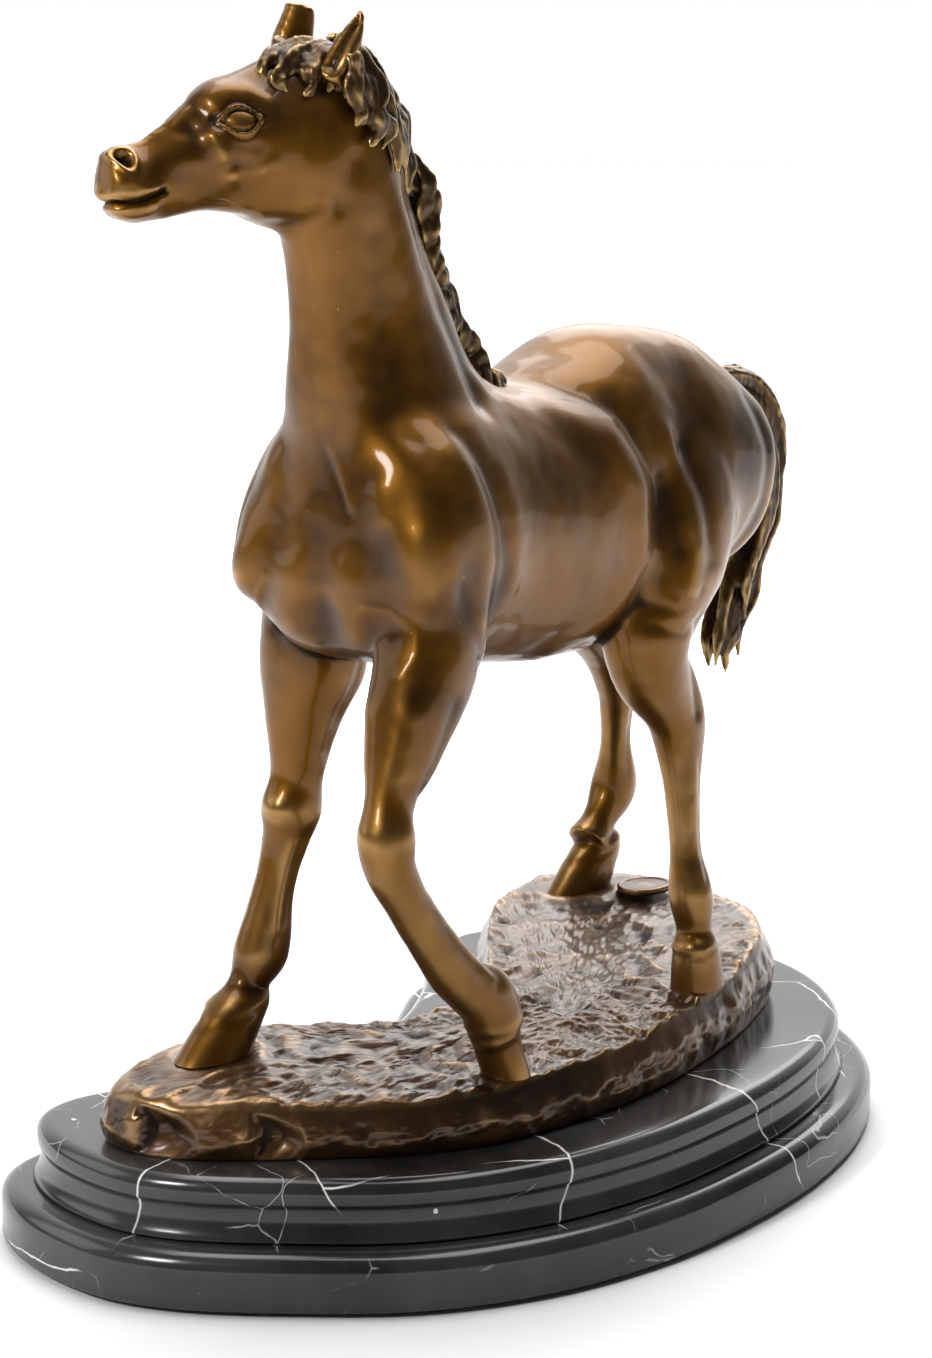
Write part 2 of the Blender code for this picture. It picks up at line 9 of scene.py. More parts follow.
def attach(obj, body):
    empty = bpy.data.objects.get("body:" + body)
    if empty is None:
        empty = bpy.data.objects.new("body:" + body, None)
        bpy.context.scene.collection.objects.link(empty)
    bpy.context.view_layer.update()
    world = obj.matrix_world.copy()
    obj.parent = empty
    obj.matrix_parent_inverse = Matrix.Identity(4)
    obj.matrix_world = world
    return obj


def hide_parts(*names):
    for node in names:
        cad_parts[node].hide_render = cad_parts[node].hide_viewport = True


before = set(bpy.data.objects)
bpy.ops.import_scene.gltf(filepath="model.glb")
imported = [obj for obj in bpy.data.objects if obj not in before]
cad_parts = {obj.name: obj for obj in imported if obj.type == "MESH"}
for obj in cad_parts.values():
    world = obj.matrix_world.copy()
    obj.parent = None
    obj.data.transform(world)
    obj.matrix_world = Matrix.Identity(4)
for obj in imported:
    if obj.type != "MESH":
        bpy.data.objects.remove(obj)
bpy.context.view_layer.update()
print("frame loaded:", len(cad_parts), "nodes")

mm = 0.001
midY, midSlope = 11.0, 0.053        # the horse's own mid-plane: y = midY + midSlope * x
headYaw = math.radians(-22.0)
poll = (98.0, 16.0, 378.0)


# Shader building

class Value:
    def __init__(self, tree, socket):
        self.tree, self.socket = tree, socket

    def maths(self, operation, other, flip=False):
        node = self.tree.nodes.new("ShaderNodeMath")
        node.operation = operation
        for place, term in zip(node.inputs, (other, self) if flip else (self, other)):
            plug(self.tree, place, term)
        return Value(self.tree, node.outputs[0])

    def __add__(self, other): return self.maths("ADD", other)
    def __radd__(self, other): return self.maths("ADD", other, True)
    def __sub__(self, other): return self.maths("SUBTRACT", other)
    def __rsub__(self, other): return self.maths("SUBTRACT", other, True)
    def __mul__(self, other): return self.maths("MULTIPLY", other)
    def __rmul__(self, other): return self.maths("MULTIPLY", other, True)


def plug(tree, place, term):
    if isinstance(term, Value):
        tree.links.new(term.socket, place)
    else:
        place.default_value = term


class Finish:
    def __init__(self, name, tree=None):
        if tree is None:
            self.material = bpy.data.materials.new(name)
            self.material.use_nodes = True
            tree = self.material.node_tree
            self.shader = tree.nodes["Principled BSDF"]
        self.tree = tree

    # one node: its type, its settings, then the values or links of its sockets
    def node(self, kind, settings=None, sockets=None, out=0):
        made = self.tree.nodes.new("ShaderNode" + kind)
        for key, value in (settings or {}).items():
            if key == "stops":
                ramp = made.color_ramp
                while len(ramp.elements) < len(value):
                    ramp.elements.new(0.5)
                for element, (at, colour) in zip(ramp.elements, value):
                    element.position = at
                    element.color = colour if len(colour) == 4 else (*colour, 1)
            else:
                setattr(made, key, value)
        for key, term in (sockets or {}).items():
            plug(self.tree, made.inputs[key], term)
        return Value(self.tree, made.outputs[out])

    def spot(self):
        return self.node("TexCoord", out="Object")

    def grain(self, scale, detail=4.0, rough=0.55, distort=0.0, out=0):
        return self.node("TexNoise", None, {"Vector": self.spot(), "Scale": scale, "Detail": detail,
                                            "Roughness": rough, "Distortion": distort}, out)

    # 0 below low, 1 above high, smooth between
    def step(self, value, low, high):
        return self.node("MapRange", {"interpolation_type": "SMOOTHSTEP"},
                         {"Value": value, "From Min": low, "From Max": high})

    # sockets 6 and 7 are the two colours, and output 2 is the mixed one
    def mix(self, share, a, b):
        a, b = (term if isinstance(term, Value) else (*term, 1) for term in (a, b))
        return self.node("Mix", {"data_type": "RGBA"}, {"Factor": share, 6: a, 7: b}, 2)

    def bump(self, height, strength, distance, under=None):
        sockets = {"Height": height, "Strength": strength, "Distance": distance}
        if under:
            sockets["Normal"] = under
        return self.node("Bump", None, sockets)

    def set(self, **values):
        for key, term in values.items():
            name = {"colour": "Base Color", "coat": "Coat Weight", "coatRoughness": "Coat Roughness",
                    "sheen": "Sheen Weight", "ior": "IOR"}.get(key, key.capitalize())
            if name == "Base Color" and not isinstance(term, Value):
                term = (*term, 1)
            plug(self.tree, self.shader.inputs[name], term)
        return self.material


def bronzeFinish(name, look):
    f = Finish(name)
    relief = f.node("Attribute", {"attribute_name": "relief"}, out="Fac")
    cloud = f.grain(look["cloudScale"], 3, 0.5, 0.6)
    streak = f.grain(look["cloudScale"] * 3.1, 5, 0.6, 0.3)
    fine = f.grain(2600, 2, 0.5)
    warmth = f.step(cloud + 0.35 * streak + 0.5 * relief, look["warmFrom"], look["warmTo"])
    colour = f.mix(warmth, look["dark"], look["warm"])
    # lighter colour on raised places and ridges: partly rubbed metal, partly a painted highlight standing in for
    # light catching them
    wearAndHighlight = f.step(relief + 0.22 * streak, look["wearAndHighlightFrom"], look["wearAndHighlightTo"])
    colour = f.mix(wearAndHighlight * look["wearAndHighlightShare"], colour, look["wearAndHighlight"])
    deep = 1 - f.step(relief + 0.18 * streak, look["deepTo"], look["deepFrom"])
    colour = f.mix(deep * look["deepShare"], colour, look["deep"])
    specks = f.step(f.grain(700, 1, 0.4), 0.80, 0.84)
    colour = f.mix(specks * 0.5, colour, look["wearAndHighlight"])
    rough = look["roughness"] + 0.12 * streak - 0.10 * wearAndHighlight + 0.22 * deep + 0.05 * fine
    normal = f.bump(fine, 0.10, 0.0002)
    normal = f.bump(f.grain(320, 4, 0.6), look["dents"], 0.0006, normal)
    return f.set(colour=colour, roughness=rough, metallic=look["metallic"] + 0.15 * wearAndHighlight,
                 coat=look["coat"] * (1 - deep), coatRoughness=look["coatRoughness"], normal=normal)


# in each look the lighter colour of raised places is partly rubbed metal and partly a painted highlight
bronzeLooks = {
    "hide": dict(cloudScale=16, warmFrom=0.66, warmTo=1.06, dark=(0.034, 0.0135, 0.003),
                 warm=(0.150, 0.062, 0.004), wearAndHighlight=(0.45, 0.28, 0.11), wearAndHighlightFrom=0.80, wearAndHighlightTo=1.10,
                 wearAndHighlightShare=0.35, deep=(0.016, 0.010, 0.005), deepFrom=0.44, deepTo=0.26, deepShare=0.8,
                 roughness=0.36, metallic=0.92, coat=0.32, coatRoughness=0.10, dents=0.08),
    "hair": dict(cloudScale=60, warmFrom=0.60, warmTo=1.05, dark=(0.010, 0.0045, 0.002),
                 warm=(0.055, 0.025, 0.004), wearAndHighlight=(0.42, 0.28, 0.11), wearAndHighlightFrom=0.66, wearAndHighlightTo=0.96,
                 wearAndHighlightShare=0.65, deep=(0.010, 0.007, 0.004), deepFrom=0.50, deepTo=0.30, deepShare=0.9,
                 roughness=0.33, metallic=0.85, coat=0.2, coatRoughness=0.2, dents=0.2),
    "ground": dict(cloudScale=26, warmFrom=0.60, warmTo=1.15, dark=(0.026, 0.012, 0.006),
                   warm=(0.095, 0.042, 0.010), wearAndHighlight=(0.36, 0.22, 0.10), wearAndHighlightFrom=0.70, wearAndHighlightTo=1.0,
                   wearAndHighlightShare=0.5, deep=(0.018, 0.012, 0.008), deepFrom=0.42, deepTo=0.25, deepShare=0.7,
                   roughness=0.34, metallic=0.80, coat=0.5, coatRoughness=0.18, dents=0.25),
}
hideBronze = bronzeFinish("waxed chestnut bronze", bronzeLooks["hide"])
hairBronze = bronzeFinish("rubbed hair bronze with painted highlights", bronzeLooks["hair"])
groundBronze = bronzeFinish("dark ground bronze", bronzeLooks["ground"])


def marbleFinish():
    f = Finish("black veined marble")
    warp = f.grain(9, 5, 0.6)
    swirl = f.grain(11, 5, 0.5, out="Color")
    shift = f.node("VectorMath", {"operation": "SCALE"}, {0: swirl, "Scale": 0.035})
    bent = f.node("VectorMath", {"operation": "ADD"}, {0: f.spot(), 1: shift})
    veins = f.node("TexVoronoi", {"feature": "DISTANCE_TO_EDGE"}, {"Vector": bent, "Scale": 11.0})
    small = f.node("TexVoronoi", {"feature": "DISTANCE_TO_EDGE"}, {"Vector": bent, "Scale": 34.0})
    broken = f.step(f.grain(14, 4, 0.6), 0.45, 0.54)
    brokenSmall = f.step(f.grain(23, 4, 0.6), 0.52, 0.62)
    main = (1 - f.step(veins, 0.0, 0.0075)) * broken
    hair = (1 - f.step(small, 0.0, 0.012)) * brokenSmall
    chips = f.step(f.grain(190, 2, 0.4), 0.80, 0.81)
    white = f.step(main * 0.9 + hair * 0.5 + chips * 0.8, 0.0, 1.0)
    cloud = f.step(warp, 0.35, 0.75)
    colour = f.mix(cloud, (0.006, 0.0055, 0.0055), (0.046, 0.044, 0.043))
    colour = f.mix(white, colour, (0.85, 0.83, 0.80))
    rough = 0.10 + 0.10 * warp + 0.18 * white + 0.05 * f.grain(900, 2, 0.5)
    normal = f.bump(white, 0.08, 0.0003)
    return f.set(colour=colour, roughness=rough, normal=normal, ior=1.5)


def feltFinish():
    f = Finish("pressed black felt")
    fuzz = f.grain(1400, 5, 0.7, 1.2)
    colour = f.mix(fuzz, (0.006, 0.006, 0.006), (0.034, 0.034, 0.036))
    return f.set(colour=colour, roughness=0.85 + 0.1 * fuzz, normal=f.bump(fuzz, 0.5, 0.0005), sheen=0.3)


def zincFinish():
    f = Finish("zinc plated steel")
    spangle = f.node("TexVoronoi", None, {"Vector": f.spot(), "Scale": 420.0}, out="Distance")
    haze = f.grain(240, 4, 0.6)
    colour = f.mix(haze, (0.40, 0.41, 0.42), (0.66, 0.67, 0.69))
    normal = f.bump(f.grain(1800, 2, 0.5), 0.1, 0.0002)
    return f.set(colour=colour, metallic=0.95, roughness=0.28 + 0.2 * haze + 0.06 * spangle, normal=normal)


marble, felt, zinc = marbleFinish(), feltFinish(), zincFinish()
print("finishes made")


# Mesh helpers

def inBody(x, side, z):
    return (x, midY + midSlope * x + side, z)


def inHead(ahead, side, z):
    c, s = math.cos(headYaw), math.sin(headYaw)
    return (poll[0] + ahead * c - side * s, poll[1] + ahead * s + side * c, z)


def meshOf(name, points, faces):
    mesh = bpy.data.meshes.new(name)
    mesh.from_pydata((np.asarray(points, float) * mm).tolist(), [], faces)
    shape = bmesh.new()
    shape.from_mesh(mesh)
    bmesh.ops.recalc_face_normals(shape, faces=shape.faces)
    shape.to_mesh(mesh)
    shape.free()
    return mesh


def shown(name, mesh, material, slot, *nodes, smooth=True):
    obj = bpy.data.objects.new(name, mesh)
    bpy.context.scene.collection.objects.link(obj)
    mesh.materials.clear()
    mesh.materials.append(material)
    if smooth:
        mesh.shade_smooth()
    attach(obj, "root")
    if nodes:
        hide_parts(*nodes)
    return obj


def ringPoints(centre, lateral, depth, width, rise, drop, pinch, count, roof=0.0):
    turn = 2 * np.pi * np.arange(count) / count
    c, s = np.cos(turn), np.sin(turn)
    reach = np.where(s > 0, rise, drop) * s
    across = np.abs(c) ** 0.85 * np.sign(c) * width * (1 - pinch * np.clip(-s, 0, 1) ** 1.5)
    across = across * (1 - roof * np.clip(s, 0, 1) ** 1.6)
    return np.array(centre) + across[:, None] * np.array(lateral) + reach[:, None] * np.array(depth)


def smoothPath(knots, count):
    knots = np.array(knots, float)
    at = np.linspace(0, len(knots) - 1, count)
    padded = np.vstack([2 * knots[0] - knots[1], knots, 2 * knots[-1] - knots[-2]])
    i = np.minimum(at.astype(int), len(knots) - 2)
    t = (at - i)[:, None]
    a, b, c, d = (padded[i + k] for k in range(4))
    return 0.5 * (2 * b + (c - a) * t + (2 * a - 5 * b + 4 * c - d) * t**2 + (3 * b - a - 3 * c + d) * t**3)


# Faces that join rings of count points, with the first ring closed and, unless open, the last
def tubeFaces(rings, count, openEnd=False):
    faces = []
    for a in range(0, (rings - 1) * count, count):
        b = a + count
        faces += [(a + k, a + (k + 1) % count, b + (k + 1) % count, b + k) for k in range(count)]
    faces.append(tuple(range(count))[::-1])
    if not openEnd:
        faces.append(tuple(range((rings - 1) * count, rings * count)))
    return faces


# A closed form through sections (x, side, z, width, rise, drop[, pinch]), points in mm
def loftForm(sections, where, axis=None, yaw=0.0, count=44, dense=5, fit=0.975, roof=0.0):
    knots = [(*where(*s[:3]), *s[3:6], s[6] if len(s) > 6 else 0.0) for s in sections]
    rows = smoothPath(knots, (len(knots) - 1) * dense + 1)
    rows[:, 3:] = np.maximum(rows[:, 3:], 0.0)
    across = Vector((-math.sin(yaw), math.cos(yaw), 0.0))
    points = []
    for i, row in enumerate(rows):
        path = Vector(rows[min(i + 1, len(rows) - 1)][:3] - rows[max(i - 1, 0)][:3])
        path = Vector(axis) if axis else path.normalized()
        lateral = (across - path * across.dot(path)).normalized()
        depth = lateral.cross(path).normalized()
        points.append(ringPoints(row[:3], lateral, depth, *(row[3:6] * fit), row[6], count, roof))
    for end, step in ((0, 1), (-1, -1)):
        middle = points[end].mean(0)
        lean = 0.6 * (points[end] - points[end + step])
        cap = [middle + (points[end] - middle) * share + lean * push
               for share, push in ((0.8, 0.35), (0.45, 0.6))]
        points = [cap[1], cap[0], *points] if step == 1 else [*points, cap[0], cap[1]]
    return np.vstack(points), tubeFaces(len(points), count)


# Runs a list of (modifier type, settings) on a mesh and gives the result
def through(mesh, *steps):
    obj = bpy.data.objects.new("work", mesh)
    bpy.context.scene.collection.objects.link(obj)
    for kind, settings in steps:
        modifier = obj.modifiers.new(kind, kind)
        for key, value in settings.items():
            setattr(modifier, key, value)
    bpy.context.view_layer.update()
    graph = bpy.context.evaluated_depsgraph_get()
    result = bpy.data.meshes.new_from_object(obj.evaluated_get(graph))
    bpy.data.objects.remove(obj)
    return result


# Overlapping closed forms made into one skin of even small faces
def fused(forms, voxel, relax, subdivide=0):
    joined = bmesh.new()
    for points, faces in forms:
        part = meshOf("form", points, faces)
        if subdivide:
            part = through(part, ("SUBSURF", {"levels": subdivide}))
        joined.from_mesh(part)
    mesh = bpy.data.meshes.new("fused")
    joined.to_mesh(mesh)
    joined.free()
    return through(mesh, ("REMESH", {"mode": "VOXEL", "voxel_size": voxel * mm}),
                   ("SMOOTH", {"factor": 0.5, "iterations": relax}))


def vertexArray(mesh, what="co"):
    flat = np.empty(len(mesh.vertices) * 3)
    source = mesh.vertices if what == "co" else mesh.vertex_normals
    source.foreach_get("co" if what == "co" else "vector", flat)
    flat = flat.reshape(-1, 3)
    return flat / mm if what == "co" else flat


def surfaceOf(mesh):
    return vertexArray(mesh), vertexArray(mesh, "normal")


def moved(mesh, points):
    mesh.vertices.foreach_set("co", (points * mm).ravel())
    mesh.update()


def edgeArray(mesh):
    pairs = np.empty(len(mesh.edges) * 2, np.int32)
    mesh.edges.foreach_get("vertices", pairs)
    return pairs.reshape(-1, 2)


def blurred(values, pairs, rounds):
    count = len(values)
    ends = np.concatenate([pairs[:, 0], pairs[:, 1]])
    others = np.concatenate([pairs[:, 1], pairs[:, 0]])
    valence = np.maximum(np.bincount(ends, minlength=count), 1)[:, None]
    now = values.copy()
    for _ in range(rounds):
        total = np.stack([np.bincount(ends, now[others, k], count) for k in range(now.shape[1])], 1)
        now = 0.4 * now + 0.6 * total / valence
    return now


# How far each point stands out of its surroundings, 0.5 on a flat place, as an attribute
def keepRelief(mesh, rounds, scale):
    points, pairs = vertexArray(mesh), edgeArray(mesh)
    out = ((points - blurred(points, pairs, rounds)) * vertexArray(mesh, "normal")).sum(1)
    out = blurred(out[:, None], pairs, 2)[:, 0]
    layer = mesh.attributes.get("relief") or mesh.attributes.new("relief", "FLOAT", "POINT")
    layer.data.foreach_set("value", np.clip(0.5 + out / scale, 0, 1).astype(np.float32))


# Distance of 2-D or 3-D points from a line through knots
def lineDistance(points, knots):
    knots = np.array(knots, float)
    if len(knots) == 1:
        return np.linalg.norm(points - knots[0], axis=1)
    best = np.full(len(points), 1e9)
    for a, b in zip(knots[:-1], knots[1:]):
        along = np.clip((points - a) @ (b - a) / ((b - a) @ (b - a)), 0, 1)
        best = np.minimum(best, np.linalg.norm(points - a - along[:, None] * (b - a), axis=1))
    return best


# Sculpting strokes: (side seen, radius, height, knots). local holds (ahead, side, up) and turned the
# normals in the same directions. Heights are mm along the normal, below 0 for a groove.
def stroked(points, normals, local, turned, strokes):
    push = np.zeros(len(points))
    for view, radius, height, knots in strokes:
        if view == "any":
            plane, facing = local, np.ones(len(points))
        elif view in ("front", "rear"):
            plane = local[:, 1:]
            facing = np.clip(turned[:, 0] * (1 if view == "front" else -1) * 1.6, 0, 1)
        elif view == "top":
            plane = local[:, :2]
            facing = np.clip(turned[:, 2] * 1.6, 0, 1)
        else:
            plane = local[:, ::2]
            sign = np.sign(local[:, 1])
            facing = np.clip(turned[:, 1] * sign * 1.8, 0, 1)
            if view == "left" or view == "right":
                facing = facing * (sign == (1 if view == "left" else -1))
            elif view == "leftLeg" or view == "rightLeg":
                facing = np.clip(np.abs(turned[:, 1]) * 1.8, 0, 1)
                facing = facing * (sign == (1 if view == "leftLeg" else -1))
        low = np.min(knots, axis=0) - 3 * radius
        high = np.max(knots, axis=0) + 3 * radius
        near = np.where(((plane > low) & (plane < high)).all(1) & (facing > 0))[0]
        if len(near):
            gap = lineDistance(plane[near], knots)
            push[near] += height * facing[near] * np.exp(-((gap / radius) ** 2))
    return points + push[:, None] * normals


def bodyFrame(points, normals):
    local = points.copy()
    local[:, 1] -= midY + midSlope * points[:, 0]
    return local, normals


def headFrame(points, normals):
    c, s = math.cos(headYaw), math.sin(headYaw)
    x, y = points[:, 0] - poll[0], points[:, 1] - poll[1]
    local = np.stack([x * c + y * s, -x * s + y * c, points[:, 2]], 1)
    turned = np.stack([normals[:, 0] * c + normals[:, 1] * s,
                       -normals[:, 0] * s + normals[:, 1] * c, normals[:, 2]], 1)
    return local, turned


# The horse: sections from which the skin is grown

horse = {
    "voxel": 1.25,
    "relax": 4,
    "flow": 46,
    # where the smoothing of the trunk fades in and out by height, and the neck's root: place, reach
    "trunkFrom": (186, 26), "trunkTo": (352, 24), "neckRootHeight": (262, 26), "neckRootAhead": (20, 30),
    "lumpDepth": 0.38,
    "torso": (
        (110, 0, 229, 13, 16, 15), (105, 0, 232, 35, 40, 32), (92, 0, 232, 45, 50, 39),
        (70, 0, 233, 45, 52, 42), (46, 0, 234, 42, 48, 48), (18, 0, 232, 42.5, 46, 50),
        (-8, 0, 231, 43.5, 52.5, 51), (-32, 0, 233, 42, 60, 52), (-55, 0, 237, 38.5, 57, 49),
        (-77, 0, 239, 41.5, 51.5, 45), (-99, 0, 240, 41, 41, 42), (-117, 0, 240, 34, 29, 35),
        (-128, 0, 242, 13, 12, 16)),
    "leftShoulder": (
        (97, 34, 212, 8, 9, 11), (99, 34, 224, 11, 11, 18), (96, 34, 240, 11.5, 12, 22),
        (87, 31, 258, 10, 13, 22), (76, 24, 273, 8, 11, 18)),
    "neck": (
        (62, 0, 250, 34, 42, 40, .2), (66, 0, 266, 31, 44.5, 42, .4), (71.5, 0, 282, 25.2, 42, 38, .5),
        (79, 0, 301, 19.5, 35, 34.5, .45), (86, 0, 320, 17.5, 30.5, 29, .4), (94, 0, 340, 16.5, 29.5, 26, .4),
        (98, 0, 356, 15, 27, 23, .3), (99, 0, 370, 13, 18, 17, .2), (99, 0, 380, 9, 10, 10, 0)),
    "head": (
        (79.6, 0, 344.5, 4.4, 4.6, 5), (77.8, 0, 344.5, 8.4, 9, 10), (72.5, 0, 345, 9.8, 11, 13),
        (63, 0, 346.5, 9.4, 11.4, 14), (53, 0, 350.5, 11, 12.6, 16.6), (45, 0, 354, 15, 15.6, 21),
        (37, 0, 357, 17.5, 19.4, 24.5), (27, 0, 358, 17, 22.6, 28.8), (16, 0, 360, 16, 23.5, 30.5),
        (5, 0, 363, 14.5, 20, 27), (-4, 0, 366, 11, 14, 18)),
    "leftEar": (
        (8, 11, 374, 5, 6, 5), (5, 12.5, 381, 4.8, 5.2, 4.6), (2, 13, 388, 3.4, 3.8, 3.2),
        (-1, 13, 394.5, 1.2, 1.3, 1.2)),
    "rightEar": (
        (11, -11, 378, 5.4, 7, 5.4), (9.5, -12, 385, 5.4, 7, 5.8), (8, -12, 391, 4.8, 6, 5.4),
        (6.5, -12, 397, 4.0, 5, 4.4)),
    "foreLeft": (
        (72, 42.5, 76, 9, 10, 9.5), (78, 42, 86, 8.6, 9.5, 12), (86.5, 40.5, 93.5, 7.8, 8.5, 9.5),
        (95.5, 39, 102, 7.4, 7.8, 8.6), (109.5, 36.5, 121, 6.6, 7, 7.6), (118, 34, 137, 8, 8.4, 8.4),
        (118.8, 33, 147, 9.2, 9.6, 8.8), (116, 32, 157, 7.6, 8.6, 8.2), (108.6, 31, 170, 10.4, 12, 12.6),
        (101, 30.5, 188, 14.2, 14.4, 18.6), (92, 30, 205, 15, 17, 20), (84, 29, 225, 15, 18, 18)),
    "foreRight": (
        (107, -43, 73, 9.4, 10, 11), (101, -42, 82, 5.8, 5.6, 6.2), (95.5, -40, 93, 8.4, 8.6, 11.4),
        (91, -37, 113, 6.6, 6.8, 7.2), (87, -35, 129, 7.4, 7.4, 7.8), (85, -34, 140, 10, 10.2, 11),
        (83, -33, 152, 8.6, 8.8, 9.2), (81.5, -31.5, 170, 12.4, 12.2, 13.6), (78.5, -30.5, 187, 17, 16.5, 20),
        (76, -30, 205, 16, 18, 20), (72, -29, 225, 15, 18, 18)),
    "hindLeft": (
        (-43, 47, 77, 8, 8.4, 9.2), (-43.5, 46.5, 84, 6.2, 6.2, 6.8), (-42.5, 45.5, 95, 7.6, 7.2, 9.2),
        (-43, 43, 113, 5.4, 5.8, 6.4), (-44.5, 40, 134, 6.4, 6.8, 8), (-45, 37, 152, 8.2, 9.2, 14),
        (-41, 36, 163, 8.8, 11.4, 16), (-31.5, 34, 178, 12.6, 15.5, 18), (-33, 32, 194, 16, 20, 22),
        (-43, 29, 215, 21, 27, 30), (-60, 22, 240, 21, 29, 34), (-72, 14, 262, 14, 18, 20)),
    "hindRight": (
        (-117.5, -48.5, 85, 8.4, 9.6, 9.8), (-125, -48, 93, 6.6, 7, 7.4), (-133, -47, 105, 8.4, 8.4, 11),
        (-130, -44, 122, 6, 6.4, 6.8), (-126, -41, 138, 6.2, 7, 8.2), (-121.5, -38, 150, 8, 9.6, 12),
        (-112, -36, 166, 10, 12.6, 13.6), (-97, -33, 182, 14, 18, 18.5), (-82, -30, 200, 19, 26, 26),
        (-74, -24, 226, 21, 29, 30), (-76, -14, 252, 14, 18, 20)),
    # hoof: x, y, sole z, toe, heel, half-width, how far the top leans back, share of size left there, height
    "hooves": (
        (66, 56, 59.4, 7.0, 7.4, 9.0, -6.5, 1.50, 19), (115, -25, 62.4, 18, 13, 10, 11, 0.72, 15),
        (-42, 57, 63.0, 8, 13.5, 8.8, -1, 0.80, 15), (-115, -43, 68.6, 22, 12, 9, 9, 0.6, 15)),
}

